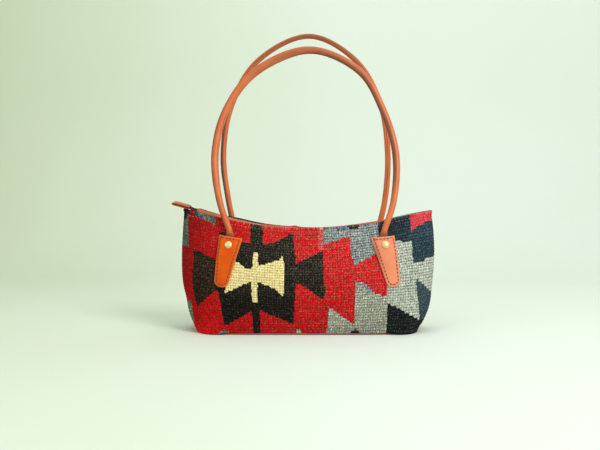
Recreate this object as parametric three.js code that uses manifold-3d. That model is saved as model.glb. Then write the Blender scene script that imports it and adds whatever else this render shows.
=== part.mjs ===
// Small handbag of flat-woven wool with a leather base, rolled leather handles and a zipped mouth.
// Millimetres. +X runs along the mouth to the closed end of the zip, +Y to the back, +Z up.
// The origin is the middle of the underside.

import * as THREE from "three";
import { mergeVertices } from "three/addons/utils/BufferGeometryUtils.js";
import Module from "manifold-3d";

const wasm = await Module();
wasm.setup();

// Gap between pieces that touch
const FIT = 0.3;

// Woven body
const MOUTH_HEIGHT = 138;
const LEFT_CORNER_RISE = 22.5;
const RIGHT_CORNER_RISE = 23;
const EDGE_ROUNDING = 1.41;
const MOUTH_HALF_WIDTH = 167.5;
const SIDE_BULGE = 3.8;
const SIDE_TAPER = 16.6;
const SIDE_TAPER_POWER = 3;
const BASE_CORNER_CUT = 2.9;
const BASE_CORNER_POWER = 18;
const MOUTH_HALF_DEPTH = 32;
const BASE_HALF_DEPTH = 45.5;
const DEPTH_BULGE = 9;
const KILIM_THICKNESS = 4;
const BASE_LENGTH_POWER = 7;
const BASE_DEPTH_POWER = 3.2;
const MOUTH_LENGTH_POWER = 2.6;
const MOUTH_DEPTH_POWER = 1.5;

// Leather base and cotton lining
const BASE_THICKNESS = 2.5;
const BASE_END_INSET = 14;
const BASE_SIDE_PROUD = 1;
const LINING_THICKNESS = 0.8;
const LINING_GAP = 2.8;
const LINING_RIM_GAP = 0.6;

// Zip, on an arc whose lowest point lies right of the middle
const ZIP_LOW_X = 35;
const ZIP_BELOW_MOUTH = 7;
const ZIP_TAPE_HALF_WIDTH = 10;
const ZIP_TAPE_THICKNESS = 0.8;
const ZIP_TAPE_BEYOND_FACING = 1;
const ZIP_SLIT_HALF_WIDTH = 1.2;
const COIL_FROM_TAIL = 16;
const COIL_FROM_FACING_END = 10;
const COIL_WIDTH = 3;
const COIL_THICKNESS = 1.8;
const STOP_LENGTH = 3;
const STOP_THICKNESS = 2.2;
const TAIL_FROM_SIDE = 19.5;
const TAIL_ABOVE_EDGE = 4.8;
const TAIL_FLARE = 5;
const TAIL_LENGTH = 30.8;
const TAIL_BEND = THREE.MathUtils.degToRad(3.9);
const TAIL_ROLL = THREE.MathUtils.degToRad(5);
const TAIL_TWIST = 9;

// Leather facings between the woven edges and the zip
const FACING_THICKNESS = 1.6;
const FACING_INNER_Y = 5.2;
const FACING_DROP = 3;
const FACING_FROM_SIDE = 27.5;

// Folded leather tab on the tail of the zip
const END_TAB_LEATHER = 1;
const END_TAB_LENGTH = 23.8;
const END_TAB_HALF_WIDTH = 11.5;
const END_TAB_BEYOND_TAPE = 3.5;

// Slider and pull
const SLIDER_FROM_COIL_END = 8;
const SLIDER_LENGTH = 12;
const SLIDER_HALF_WIDTH = 4.8;
const SLIDER_PLATE = 1.4;
const SLIDER_CORNER = 2.5;
const SLIDER_POST_HALF_WIDTH = 0.8;
const SLIDER_POST_LENGTH = 3;
const BRIDGE_RADIUS = 3.4;
const BRIDGE_WIDTH = 2;
const PULL_THICKNESS = 1.6;
const PULL_LENGTH = 30;
const PULL_HALF_WIDTH = 3;
const PULL_CLEARANCE = 0.5;

// Leather tabs and the flattened handle ends under them
const TAB_FROM_SIDE = 68.85;
const TAB_BELOW_MOUTH = 11.5;
const TABS_OFF_CENTRE = -1.65;
const TAB_TILT = THREE.MathUtils.degToRad(12.05);
const TABS_TURN = THREE.MathUtils.degToRad(0.75);
const TAB_TOP_SKEW = 1.4;
const TABS_TOP_TURN = 0.8;
const TAB_LENGTH = 65.6;
const TAB_TOP_WIDTH = 31;
const TAB_END_WIDTH = 17.4;
const TAB_THICKNESS = 2.6;
const TAB_RISE_MARGIN = 3.5;
const TAB_RISE_RUN = 5.5;
const HANDLE_END_WIDTH = 11;
const HANDLE_END_LENGTH = 22;
const HANDLE_END_THICKNESS = 3.2;

// Rivets
const RIVET_BELOW_TOP = 12;
const RIVET_CAP_RADIUS = 4.8;
const RIVET_CAP_HEIGHT = 2.4;
const RIVET_CAP_WALL = 1;
const RIVET_PIN_RADIUS = 1.5;
const RIVET_HEAD_RADIUS = 4.2;
const RIVET_HEAD_THICKNESS = 1.2;

// Rolled handles, thinnest where they leave the tabs
const HANDLE_FOOT_RADIUS = 4;
const HANDLE_FOOT_OUT = 2.3;
const HANDLE_WIDEST_HEIGHT = 105;
const FRONT_HANDLE = {
  rise: 252.4,
  spread: 21.35,
  lean: THREE.MathUtils.degToRad(-13),
  radius: 4.8,
  kneeShare: 0.71,
  sway: 0,
  shoulder: { spanShare: 0.88, sway: -4.4 },
  crown: { spanShare: 0.59, sway: -0.2 },
};
const BACK_HANDLE = {
  rise: 270.9,
  spread: 16.1,
  lean: THREE.MathUtils.degToRad(-3),
  radius: 4.1,
  kneeShare: 0.63,
  sway: 0.75,
  shoulder: { spanShare: 0.912, sway: -2.5 },
  crown: { spanShare: 0.6, sway: -1.4 },
};

// Bends of a handle's arch: shares of its half-span, and of the height below or above its widest point;
// each is off centre by its sway, because the bag's handles don't stand quite true
const FOOT_SWAY = -1.35;
const ARCH_KNEE = { riseShare: 0.4, sway: -1.8 };
const WIDEST_SWAY = -3.3;
const SHOULDER_RISE_SHARE = 0.41;
const CROWN_RISE_SHARE = 0.79;
const TOP_SWAY = 2;

// Facets
const PANEL_COLUMNS = 26;
const PANEL_ROWS = 11;
const ROW_CROWDING = 1.7;
const LINING_SIDES = 36;
const LINING_ROWS = 6;
const ZIP_COLUMNS = 28;
const FACING_ROWS = 4;
const TAPE_ROWS = 2;
const TAIL_COLUMNS = 6;
const TAB_COLUMNS = 6;
const TAB_ROWS = 9;
const HANDLE_END_COLUMNS = 2;
const HANDLE_SIDES = 10;
const HANDLE_STEPS = 40;
const CAP_STEPS = 3;
const ROUND_SIDES = 12;

// Derived places
const SEAM_HEIGHT = BASE_THICKNESS + FIT;
const BASE_HALF_WIDTH = MOUTH_HALF_WIDTH - SIDE_TAPER - BASE_CORNER_CUT;
const TAB_TOP_X = MOUTH_HALF_WIDTH - TAB_FROM_SIDE;
const TAB_TOP_HEIGHT = MOUTH_HEIGHT - TAB_BELOW_MOUTH;
const TAIL_START_X = TAIL_FROM_SIDE - MOUTH_HALF_WIDTH;
const FACING_RIGHT_X = MOUTH_HALF_WIDTH - FACING_FROM_SIDE;
const ZIP_TAPE_RIGHT_X = FACING_RIGHT_X + ZIP_TAPE_BEYOND_FACING;
const COIL_LEFT_X = TAIL_START_X + COIL_FROM_TAIL;
const COIL_RIGHT_X = FACING_RIGHT_X - COIL_FROM_FACING_END;
const SLIDER_CLOSED_X = COIL_RIGHT_X - SLIDER_FROM_COIL_END;
const COIL_BOTTOM = FIT;
const SLIDER_TOP = COIL_BOTTOM + COIL_THICKNESS + FIT + SLIDER_PLATE;
const SLIDER_FLOOR = -ZIP_TAPE_THICKNESS - FIT;
const COIL_OUTER_Y = ZIP_SLIT_HALF_WIDTH + COIL_WIDTH;
const LINING_INSET = KILIM_THICKNESS + LINING_GAP;
const FACING_LEFT_X = TAIL_START_X;
const lerp = THREE.MathUtils.lerp;

// Body shape: v runs from the base seam (0) to the top edge (1), q across the panel from -1 to 1

function halfWidth(v) {
  const taper = SIDE_TAPER * (1 - v) ** SIDE_TAPER_POWER;
  const corner = BASE_CORNER_CUT * (1 - v) ** BASE_CORNER_POWER;
  return MOUTH_HALF_WIDTH + SIDE_BULGE * Math.sin(Math.PI * v) - taper - corner;
}

function halfDepth(v) {
  return lerp(BASE_HALF_DEPTH, MOUTH_HALF_DEPTH, v) + DEPTH_BULGE * Math.sin(Math.PI * v);
}

function planDepth(q, v) {
  const lengthPower = lerp(BASE_LENGTH_POWER, MOUTH_LENGTH_POWER, v);
  const depthPower = lerp(BASE_DEPTH_POWER, MOUTH_DEPTH_POWER, v);
  return Math.max(0, 1 - Math.abs(q) ** lengthPower) ** (1 / depthPower);
}

function topEdge(x) {
  const cornerRise = x < 0 ? LEFT_CORNER_RISE : RIGHT_CORNER_RISE;
  const t = Math.abs(x) / MOUTH_HALF_WIDTH;
  return MOUTH_HEIGHT + cornerRise * (EDGE_ROUNDING * t ** 2 - (EDGE_ROUNDING - 1) * t ** 4);
}

// Point of the front wall, inset from its outer face
function wallPoint(q, v, inset) {
  const x = (halfWidth(v) - inset) * q;
  const y = -(halfDepth(v) - inset) * planDepth(q, v);
  return new THREE.Vector3(x, y, lerp(SEAM_HEIGHT, topEdge(x), v));
}

// Half-depth of the wall at a place seen from the front
function wallDepth(x, z, inset) {
  const v = (z - SEAM_HEIGHT) / (topEdge(x) - SEAM_HEIGHT);
  return (halfDepth(v) - inset) * planDepth(x / (halfWidth(v) - inset), v);
}

// Closed bodies

function closedBody(points, triangles) {
  let volume = 0;
  for (let k = 0; k < triangles.length; k += 3) {
    const [a, b, c] = [0, 1, 2].map((corner) => points[triangles[k + corner]]);
    volume += a.dot(b.clone().cross(c));
  }
  const outward = volume > 0 ? triangles : triangles.toReversed();
  const geometry = new THREE.BufferGeometry();
  const positions = points.flatMap((point) => point.toArray());
  geometry.setAttribute("position", new THREE.Float32BufferAttribute(positions, 3));
  geometry.setIndex(outward);
  return geometry;
}

// Body between two faces, each a function of two fractions
function bodyBetween(columns, rows, nearFace, farFace) {
  const points = [];
  const triangles = [];
  const quad = (a, b, c, d) => triangles.push(a, b, c, a, c, d);
  const near = (i, j) => j * (columns + 1) + i;
  const far = (i, j) => (columns + 1) * (rows + 1) + near(i, j);
  for (const face of [nearFace, farFace]) {
    for (let j = 0; j <= rows; j++) {
      for (let i = 0; i <= columns; i++) {
        points.push(face(i / columns, j / rows));
      }
    }
  }
  for (let i = 0; i < columns; i++) {
    for (let j = 0; j < rows; j++) {
      quad(near(i, j), near(i + 1, j), near(i + 1, j + 1), near(i, j + 1));
      quad(far(i, j + 1), far(i + 1, j + 1), far(i + 1, j), far(i, j));
    }
    quad(near(i + 1, 0), near(i, 0), far(i, 0), far(i + 1, 0));
    quad(near(i, rows), near(i + 1, rows), far(i + 1, rows), far(i, rows));
  }
  for (let j = 0; j < rows; j++) {
    quad(near(0, j), near(0, j + 1), far(0, j + 1), far(0, j));
    quad(near(columns, j + 1), near(columns, j), far(columns, j), far(columns, j + 1));
  }
  return closedBody(points, triangles);
}

// Body through a row of rings with as many points each, closed at both ends
function loft(rings) {
  const sides = rings[0].length;
  const points = rings.flat();
  const triangles = [];
  for (let j = 0; j + 1 < rings.length; j++) {
    for (let i = 0; i < sides; i++) {
      const next = (i + 1) % sides;
      const [a, b] = [j * sides + i, j * sides + next];
      triangles.push(a, b, b + sides, a, b + sides, a + sides);
    }
  }
  const last = (rings.length - 1) * sides;
  const middles = [rings[0], rings.at(-1)].map((ring) => {
    const sum = ring.reduce((total, point) => total.add(point), new THREE.Vector3());
    return sum.divideScalar(sides);
  });
  points.push(...middles);
  const [first, end] = [points.length - 2, points.length - 1];
  for (let i = 0; i < sides; i++) {
    const next = (i + 1) % sides;
    triangles.push(first, next, i, end, last + i, last + next);
  }
  return closedBody(points, triangles);
}

// Joins and cuts

function toSolid(geometry) {
  const bare = geometry.clone();
  bare.deleteAttribute("normal");
  bare.deleteAttribute("uv");
  const merged = mergeVertices(bare);
  const vertProperties = new Float32Array(merged.attributes.position.array);
  const triVerts = new Uint32Array(merged.index.array);
  return new wasm.Manifold(new wasm.Mesh({ numProp: 3, vertProperties, triVerts }));
}

function toGeometry(solid) {
  const mesh = solid.getMesh();
  const geometry = new THREE.BufferGeometry();
  geometry.setAttribute("position", new THREE.Float32BufferAttribute(mesh.vertProperties, 3));
  geometry.setIndex(new THREE.Uint32BufferAttribute(mesh.triVerts, 1));
  return geometry;
}

function join(geometries) {
  const [first, ...others] = geometries.map(toSolid);
  return toGeometry(others.reduce((whole, solid) => whole.add(solid), first));
}

function cut(geometry, tools) {
  return toGeometry(tools.map(toSolid).reduce((left, tool) => left.subtract(tool), toSolid(geometry)));
}

// Finishes

function finish(color, roughness, metalness) {
  return new THREE.MeshStandardMaterial({ color, roughness, metalness });
}

const KILIM = finish(0xb02a30, 0.95, 0);
const TAN_LEATHER = finish(0xc97a45, 0.6, 0);
const HANDLE_LEATHER = finish(0xb9683d, 0.55, 0);
const COTTON = finish(0x8b7d68, 0.95, 0);
const TAPE = finish(0x4a2a2c, 0.9, 0);
const BRASS = finish(0xb58d4a, 0.35, 1);

const bag = new THREE.Group();

function addPiece(name, geometry, material, parent = bag) {
  const mesh = new THREE.Mesh(geometry, material);
  mesh.name = name;
  parent.add(mesh);
  return mesh;
}

// Front and back share their shapes: turning a piece to the back mirrors it through the zip
const SIDES = [
  { name: "front", y: 1 },
  { name: "back", y: -1 },
];

const HANDS = [
  { name: "left", x: -1 },
  { name: "right", x: 1 },
];

function toSide(side, geometry) {
  if (side.y > 0) {
    return geometry;
  }
  const mirrored = geometry.clone().scale(1, -1, 1);
  mirrored.setIndex([...mirrored.index.array].reverse());
  return mirrored;
}

// Tabs: a across the tab, b down its length, both seen from the front

function tabPlace(hand, a, b) {
  const middle = hand * TAB_TOP_X + TABS_OFF_CENTRE;
  const tilt = TABS_TURN + hand * TAB_TILT;
  const x = middle + a * Math.cos(tilt) + b * Math.sin(tilt);
  const z = TAB_TOP_HEIGHT + a * Math.sin(tilt) - b * Math.cos(tilt);
  return { x, z };
}

function wallNormal(x, z) {
  const dx = wallDepth(x + FIT, z, 0) - wallDepth(x - FIT, z, 0);
  const dz = wallDepth(x, z + FIT, 0) - wallDepth(x, z - FIT, 0);
  return new THREE.Vector3(-dx, -2 * FIT, -dz).normalize();
}

// Point above the outer face of the front panel
function abovePanel(hand, a, b, height) {
  const { x, z } = tabPlace(hand, a, b);
  const foot = new THREE.Vector3(x, -wallDepth(x, z, 0), z);
  return foot.addScaledVector(wallNormal(x, z), height);
}

const TAB_SEAT = HANDLE_END_THICKNESS + FIT;

// How far the tab rises to pass over the handle end
function tabRise(a, b) {
  const flat = THREE.MathUtils.smoothstep;
  const halfEnd = HANDLE_END_WIDTH / 2 + TAB_RISE_MARGIN;
  const across = 1 - flat(Math.abs(a), halfEnd, halfEnd + TAB_RISE_RUN);
  const endFoot = HANDLE_END_LENGTH + TAB_RISE_MARGIN;
  const along = 1 - flat(b, endFoot, endFoot + 2 * TAB_RISE_RUN);
  return TAB_SEAT * across * along;
}

const TAB_STRAIGHT = TAB_LENGTH - TAB_END_WIDTH / 2;

// Straight sides down to a round end
function tabOutline(fraction) {
  const endRadius = TAB_END_WIDTH / 2;
  const straightShare = (TAB_ROWS - CAP_STEPS) / TAB_ROWS;
  if (fraction <= straightShare) {
    const t = fraction / straightShare;
    return { b: TAB_STRAIGHT * t, half: lerp(TAB_TOP_WIDTH, TAB_END_WIDTH, t) / 2 };
  }
  const lastTurn = (Math.PI * CAP_STEPS) / (2 * CAP_STEPS + 1);
  const turn = (lastTurn * (fraction - straightShare)) / (1 - straightShare);
  return { b: TAB_STRAIGHT + endRadius * Math.sin(turn), half: endRadius * Math.cos(turn) };
}

// The top is cut askew, lower at the outer corner
function tabSkew(hand, a, b) {
  const skew = hand * TAB_TOP_SKEW + TABS_TOP_TURN;
  return (skew * a * Math.max(0, 1 - b / TAB_STRAIGHT)) / (TAB_TOP_WIDTH / 2);
}

function tabBody(hand) {
  const face = (height) => (u, w) => {
    const { b, half } = tabOutline(w);
    const a = lerp(-half, half, u);
    return abovePanel(hand, a, b + tabSkew(hand, a, b), FIT + tabRise(a, b) + height);
  };
  return bodyBetween(TAB_COLUMNS, TAB_ROWS, face(0), face(TAB_THICKNESS));
}

function handleEndBody(hand) {
  const half = HANDLE_END_WIDTH / 2;
  const face = (height) => (u, w) => abovePanel(hand, lerp(-half, half, u), HANDLE_END_LENGTH * w, height);
  return bodyBetween(HANDLE_END_COLUMNS, CAP_STEPS, face(FIT), face(FIT + HANDLE_END_THICKNESS));
}

// Rivets stand along the normal of the panel
function alongRivet(hand, geometry) {
  const { x, z } = tabPlace(hand, 0, RIVET_BELOW_TOP);
  const turn = new THREE.Quaternion().setFromUnitVectors(new THREE.Vector3(0, 1, 0), wallNormal(x, z));
  const foot = abovePanel(hand, 0, RIVET_BELOW_TOP, 0);
  return geometry.applyQuaternion(turn).translate(...foot.toArray());
}

const RIVET_CAP_SEAT = FIT + TAB_SEAT + TAB_THICKNESS + FIT;
const RIVET_HEAD_TOP = -KILIM_THICKNESS - FIT;
const RIVET_HOLE_RADIUS = RIVET_PIN_RADIUS + FIT;

function turned(profile) {
  return new THREE.LatheGeometry(profile.map(([r, h]) => new THREE.Vector2(r, h)), ROUND_SIDES);
}

function rivetCap() {
  const socket = RIVET_CAP_SEAT + RIVET_CAP_HEIGHT - RIVET_CAP_WALL;
  const profile = [
    [0, socket],
    [RIVET_HOLE_RADIUS, socket],
    [RIVET_HOLE_RADIUS, RIVET_CAP_SEAT],
  ];
  for (let k = 0; k <= CAP_STEPS; k++) {
    const turn = (k / CAP_STEPS) * Math.PI / 2;
    const radius = k === CAP_STEPS ? 0 : RIVET_CAP_RADIUS * Math.cos(turn);
    profile.push([radius, RIVET_CAP_SEAT + RIVET_CAP_HEIGHT * Math.sin(turn)]);
  }
  return turned(profile);
}

function rivetPost() {
  const tip = RIVET_CAP_SEAT + RIVET_CAP_HEIGHT - RIVET_CAP_WALL - FIT;
  return turned([
    [0, RIVET_HEAD_TOP - RIVET_HEAD_THICKNESS],
    [RIVET_HEAD_RADIUS, RIVET_HEAD_TOP - RIVET_HEAD_THICKNESS],
    [RIVET_HEAD_RADIUS, RIVET_HEAD_TOP],
    [RIVET_PIN_RADIUS, RIVET_HEAD_TOP],
    [RIVET_PIN_RADIUS, tip],
    [0, tip],
  ]);
}

function rivetHole() {
  const length = 2 * (RIVET_CAP_SEAT + KILIM_THICKNESS);
  return new THREE.CylinderGeometry(RIVET_HOLE_RADIUS, RIVET_HOLE_RADIUS, length, ROUND_SIDES);
}

// Woven panels, meeting at the side seams
function panelBody() {
  const face = (inset) => (u, w) => {
    const q = Math.sin((u - 0.5) * Math.PI);
    return wallPoint(q, w ** ROW_CROWDING, inset).add(new THREE.Vector3(0, -FIT / 2, 0));
  };
  const whole = bodyBetween(PANEL_COLUMNS, PANEL_ROWS, face(0), face(KILIM_THICKNESS));
  return cut(whole, HANDS.map((hand) => alongRivet(hand.x, rivetHole())));
}

for (const side of SIDES) {
  addPiece(`${side.name}_panel`, toSide(side, panelBody()), KILIM);
  for (const hand of HANDS) {
    const name = `${side.name}_${hand.name}`;
    const hole = () => alongRivet(hand.x, rivetHole());
    addPiece(`${name}_handle_end`, toSide(side, cut(handleEndBody(hand.x), [hole()])), HANDLE_LEATHER);
    addPiece(`${name}_tab`, toSide(side, cut(tabBody(hand.x), [hole()])), TAN_LEATHER);
    addPiece(`${name}_rivet_cap`, toSide(side, alongRivet(hand.x, rivetCap())), BRASS);
    addPiece(`${name}_rivet_post`, toSide(side, alongRivet(hand.x, rivetPost())), BRASS);
  }
}

// Leather base under the woven walls
function baseBody() {
  const outline = [];
  for (let i = 0; i < LINING_SIDES; i++) {
    const turn = (i / LINING_SIDES) * 2 * Math.PI;
    const q = Math.cos(turn);
    const y = Math.sign(Math.sin(turn)) * (BASE_HALF_DEPTH + BASE_SIDE_PROUD) * planDepth(q, 0);
    outline.push(new THREE.Vector2((BASE_HALF_WIDTH - BASE_END_INSET) * q, y));
  }
  return new THREE.ExtrudeGeometry(new THREE.Shape(outline), { depth: BASE_THICKNESS, bevelEnabled: false });
}

addPiece("base_panel", baseBody(), TAN_LEATHER);

// Zip: s runs along its arc from the lowest point, y across it, n up from the top of the tape

// The arc passes over the left corner of the mouth
const ZIP_LOW_HEIGHT = MOUTH_HEIGHT - ZIP_BELOW_MOUTH;
const TAIL_RUN = ZIP_LOW_X - TAIL_START_X;
const TAIL_RISE = topEdge(TAIL_START_X) + TAIL_ABOVE_EDGE - ZIP_LOW_HEIGHT;
const ZIP_RADIUS = (TAIL_RUN ** 2 + TAIL_RISE ** 2) / (2 * TAIL_RISE);

function zipDistance(x) {
  return ZIP_RADIUS * Math.asin((x - ZIP_LOW_X) / ZIP_RADIUS);
}

const TAIL_START = zipDistance(TAIL_START_X);
const TAIL_END = TAIL_START - TAIL_LENGTH;

// Left of the mouth the tail runs straight on, less steep than the arc
function zipPoint(s, y, n) {
  const onArc = Math.max(s, TAIL_START);
  const turn = onArc / ZIP_RADIUS;
  const beyond = s - onArc;
  const tail = turn + TAIL_BEND;
  const x = ZIP_LOW_X + (ZIP_RADIUS - n) * Math.sin(turn) + beyond * Math.cos(tail);
  const z = ZIP_LOW_HEIGHT + ZIP_RADIUS - (ZIP_RADIUS - n) * Math.cos(turn) + beyond * Math.sin(tail);
  return new THREE.Vector3(x, y, z);
}

// Rolls what lies on the tail towards the front, about the middle of the tape
function rollTail(geometry) {
  const rolled = geometry.clone();
  const place = rolled.attributes.position;
  const start = zipPoint(TAIL_START, 0, 0);
  const along = start.clone().sub(zipPoint(TAIL_END, 0, 0)).normalize();
  for (let k = 0; k < place.count; k++) {
    const point = new THREE.Vector3().fromBufferAttribute(place, k).sub(start);
    const roll = TAIL_ROLL * THREE.MathUtils.smoothstep(-point.dot(along), 0, TAIL_TWIST);
    place.setXYZ(k, ...point.applyAxisAngle(along, roll).add(start).toArray());
  }
  return rolled;
}

function bentOntoZip(geometry) {
  const bent = geometry.clone();
  const place = bent.attributes.position;
  for (let k = 0; k < place.count; k++) {
    place.setXYZ(k, ...zipPoint(place.getX(k), place.getY(k), place.getZ(k)).toArray());
  }
  return bent;
}

function zipHeight(x) {
  return zipPoint(zipDistance(x), 0, 0).z;
}

// Underside of a facing, flat beside the zip and turned up along the woven edge

function facingEdge(x) {
  const height = topEdge(x) - FACING_DROP;
  return { y: wallDepth(x, height + FACING_THICKNESS, KILIM_THICKNESS) - FIT, height };
}

function facingUnderside(x, y) {
  const edge = facingEdge(x);
  const t = (y - FACING_INNER_Y) / (edge.y - FACING_INNER_Y);
  return lerp(zipHeight(x) + FIT, edge.height, t ** 2);
}

function facingBody() {
  const face = (height) => (u, w) => {
    const x = lerp(FACING_LEFT_X, FACING_RIGHT_X, u);
    const y = lerp(FACING_INNER_Y, facingEdge(x).y, w);
    return new THREE.Vector3(x, -y, facingUnderside(x, y) + height);
  };
  return bodyBetween(ZIP_COLUMNS, FACING_ROWS, face(0), face(FACING_THICKNESS));
}

// Lining: a sack inside the walls whose rim follows the underside of the facings

function liningReach(q) {
  const x = (MOUTH_HALF_WIDTH - LINING_INSET) * q;
  const under = THREE.MathUtils.clamp(x, FACING_LEFT_X, FACING_RIGHT_X);
  const edge = facingEdge(under);
  const wall = wallDepth(under, edge.height, LINING_INSET);
  const lower = Math.min(facingUnderside(under, wall), topEdge(x) - FACING_DROP) - LINING_RIM_GAP;
  return (lower - SEAM_HEIGHT) / (topEdge(x) - SEAM_HEIGHT);
}

function liningRing(fraction, inset, floor) {
  const ring = [];
  for (let i = 0; i < LINING_SIDES; i++) {
    const turn = (i / LINING_SIDES) * 2 * Math.PI;
    const q = Math.cos(turn);
    const point = wallPoint(q, liningReach(q) * fraction ** ROW_CROWDING, inset);
    point.y *= -Math.sign(Math.sin(turn));
    point.z += floor * (1 - fraction);
    ring.push(point);
  }
  return ring;
}

function liningBody() {
  const rings = [];
  for (let j = 0; j <= LINING_ROWS; j++) {
    rings.push(liningRing(j / LINING_ROWS, LINING_INSET, 0));
  }
  for (let j = LINING_ROWS; j >= 0; j--) {
    rings.push(liningRing(j / LINING_ROWS, LINING_INSET + LINING_THICKNESS, LINING_THICKNESS));
  }
  return loft(rings);
}

addPiece("lining", liningBody(), COTTON);

// 0 along the mouth, 1 where the tail is clear of it
function tailFlare(s) {
  return THREE.MathUtils.clamp((TAIL_START - s) / TAIL_FLARE, 0, 1);
}

// Half-width of the zip tape: inside the lining along the mouth, full on the tail
function tapeHalfWidth(s) {
  const { x } = zipPoint(s, 0, 0);
  const inside = Math.max(x, TAIL_START_X);
  const room = wallDepth(inside, facingEdge(inside).height, LINING_INSET + LINING_THICKNESS) - FIT;
  const mouth = Math.min(ZIP_TAPE_HALF_WIDTH, room);
  return lerp(mouth, ZIP_TAPE_HALF_WIDTH, tailFlare(s));
}

// How far the tape bends down to stay under the facing
function tapeDroop(x, y) {
  if (y < FACING_INNER_Y) {
    return 0;
  }
  const under = THREE.MathUtils.clamp(x, FACING_LEFT_X, FACING_RIGHT_X);
  return Math.max(0, zipHeight(under) - facingUnderside(under, y) + 2 * FIT);
}

function tapeBody() {
  const rightEnd = zipDistance(ZIP_TAPE_RIGHT_X);
  const tailShare = TAIL_COLUMNS / ZIP_COLUMNS;
  const station = (u) => {
    const alongTail = lerp(TAIL_END, TAIL_START, u / tailShare);
    const alongMouth = lerp(TAIL_START, rightEnd, (u - tailShare) / (1 - tailShare));
    return u < tailShare ? alongTail : alongMouth;
  };
  const face = (height) => (u, w) => {
    const s = station(u);
    const y = lerp(ZIP_SLIT_HALF_WIDTH, tapeHalfWidth(s), w);
    const point = zipPoint(s, -y, height);
    point.z -= tapeDroop(point.x, y) * (1 - tailFlare(s));
    return point;
  };
  return bodyBetween(ZIP_COLUMNS, TAPE_ROWS, face(0), face(-ZIP_TAPE_THICKNESS));
}

// Row of the closed coil, sewn along the edge of its tape
function coilBody() {
  const [left, right] = [zipDistance(COIL_LEFT_X), zipDistance(COIL_RIGHT_X)];
  const face = (y) => (u, w) => zipPoint(lerp(left, right, u), -y, COIL_BOTTOM + COIL_THICKNESS * w);
  return bodyBetween(ZIP_COLUMNS, 1, face(ZIP_SLIT_HALF_WIDTH), face(COIL_OUTER_Y));
}

// Bare geometry with its shared points merged
function merge(geometry) {
  geometry.deleteAttribute("normal");
  geometry.deleteAttribute("uv");
  return mergeVertices(geometry);
}

function block(s, length, nearY, farY) {
  const box = new THREE.BoxGeometry(length, farY - nearY, STOP_THICKNESS);
  box.translate(s, (nearY + farY) / 2, COIL_BOTTOM + STOP_THICKNESS / 2);
  return bentOntoZip(merge(box));
}

const LEFT_STOP = zipDistance(COIL_LEFT_X) - FIT - STOP_LENGTH / 2;
const RIGHT_STOP = zipDistance(COIL_RIGHT_X) + FIT + STOP_LENGTH / 2;

for (const side of SIDES) {
  addPiece(`${side.name}_facing`, toSide(side, facingBody()), TAN_LEATHER);
  addPiece(`${side.name}_zip_tape`, rollTail(toSide(side, tapeBody())), TAPE);
  addPiece(`${side.name}_zip_coil`, toSide(side, coilBody()), TAPE);
  const stop = block(RIGHT_STOP, STOP_LENGTH, -COIL_OUTER_Y, -ZIP_SLIT_HALF_WIDTH);
  addPiece(`${side.name}_top_stop`, toSide(side, stop), BRASS);
}
addPiece("zip_bottom_stop", block(LEFT_STOP, STOP_LENGTH, -COIL_OUTER_Y, COIL_OUTER_Y), BRASS);

// Leather folded round the end of the tail
function endTabBody() {
  const slotTop = FIT;
  const slotFloor = -ZIP_TAPE_THICKNESS - FIT;
  const fold = TAIL_END - END_TAB_BEYOND_TAPE;
  const mouth = fold + END_TAB_LENGTH;
  const middle = (slotTop + slotFloor) / 2;
  const slotHalf = (slotTop - slotFloor) / 2;
  const outerHalf = slotHalf + END_TAB_LEATHER;
  const section = new THREE.Shape();
  section.moveTo(mouth, middle + outerHalf);
  section.lineTo(fold + outerHalf, middle + outerHalf);
  section.absarc(fold + outerHalf, middle, outerHalf, Math.PI / 2, 1.5 * Math.PI, false);
  section.lineTo(mouth, middle - outerHalf);
  section.lineTo(mouth, middle - slotHalf);
  section.lineTo(fold + outerHalf, middle - slotHalf);
  section.absarc(fold + outerHalf, middle, slotHalf, 1.5 * Math.PI, Math.PI / 2, true);
  section.lineTo(mouth, middle + slotHalf);
  section.closePath();
  const options = { depth: 2 * END_TAB_HALF_WIDTH, bevelEnabled: false, curveSegments: CAP_STEPS + 1 };
  const body = new THREE.ExtrudeGeometry(section, options);
  body.rotateX(Math.PI / 2).translate(0, END_TAB_HALF_WIDTH, 0);
  return bentOntoZip(merge(body));
}

addPiece("zip_end_tab", rollTail(endTabBody()), TAN_LEATHER);

// Slider: two plates joined by a post that runs in the slit, with a bridge for the pull

function roundedPlate(length, halfWidth, corner, thickness) {
  const [x, y] = [length / 2 - corner, halfWidth - corner];
  const outline = new THREE.Shape();
  outline.absarc(x, y, corner, 0, Math.PI / 2);
  outline.absarc(-x, y, corner, Math.PI / 2, Math.PI);
  outline.absarc(-x, -y, corner, Math.PI, 1.5 * Math.PI);
  outline.absarc(x, -y, corner, 1.5 * Math.PI, 2 * Math.PI);
  const options = { depth: thickness, bevelEnabled: false, curveSegments: CAP_STEPS };
  return new THREE.ExtrudeGeometry(outline, options);
}

const PULL_AXIS = SLIDER_TOP + PULL_THICKNESS / 2 + PULL_CLEARANCE;

function bridgeBody() {
  const foot = SLIDER_TOP - SLIDER_PLATE / 2 - PULL_AXIS;
  const eye = PULL_THICKNESS / 2 + PULL_CLEARANCE;
  const arch = new THREE.Shape();
  arch.moveTo(-BRIDGE_RADIUS, foot);
  arch.lineTo(BRIDGE_RADIUS, foot);
  arch.absarc(0, 0, BRIDGE_RADIUS, 0, Math.PI);
  arch.closePath();
  const ring = [];
  for (let i = 0; i < ROUND_SIDES; i++) {
    const turn = (i / ROUND_SIDES) * 2 * Math.PI;
    ring.push(new THREE.Vector2(eye * Math.cos(turn), eye * Math.sin(turn)));
  }
  arch.holes.push(new THREE.Path(ring));
  const options = { depth: BRIDGE_WIDTH, bevelEnabled: false, curveSegments: 2 * CAP_STEPS };
  const body = new THREE.ExtrudeGeometry(arch, options);
  return body.rotateX(Math.PI / 2).translate(0, BRIDGE_WIDTH / 2, PULL_AXIS);
}

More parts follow.
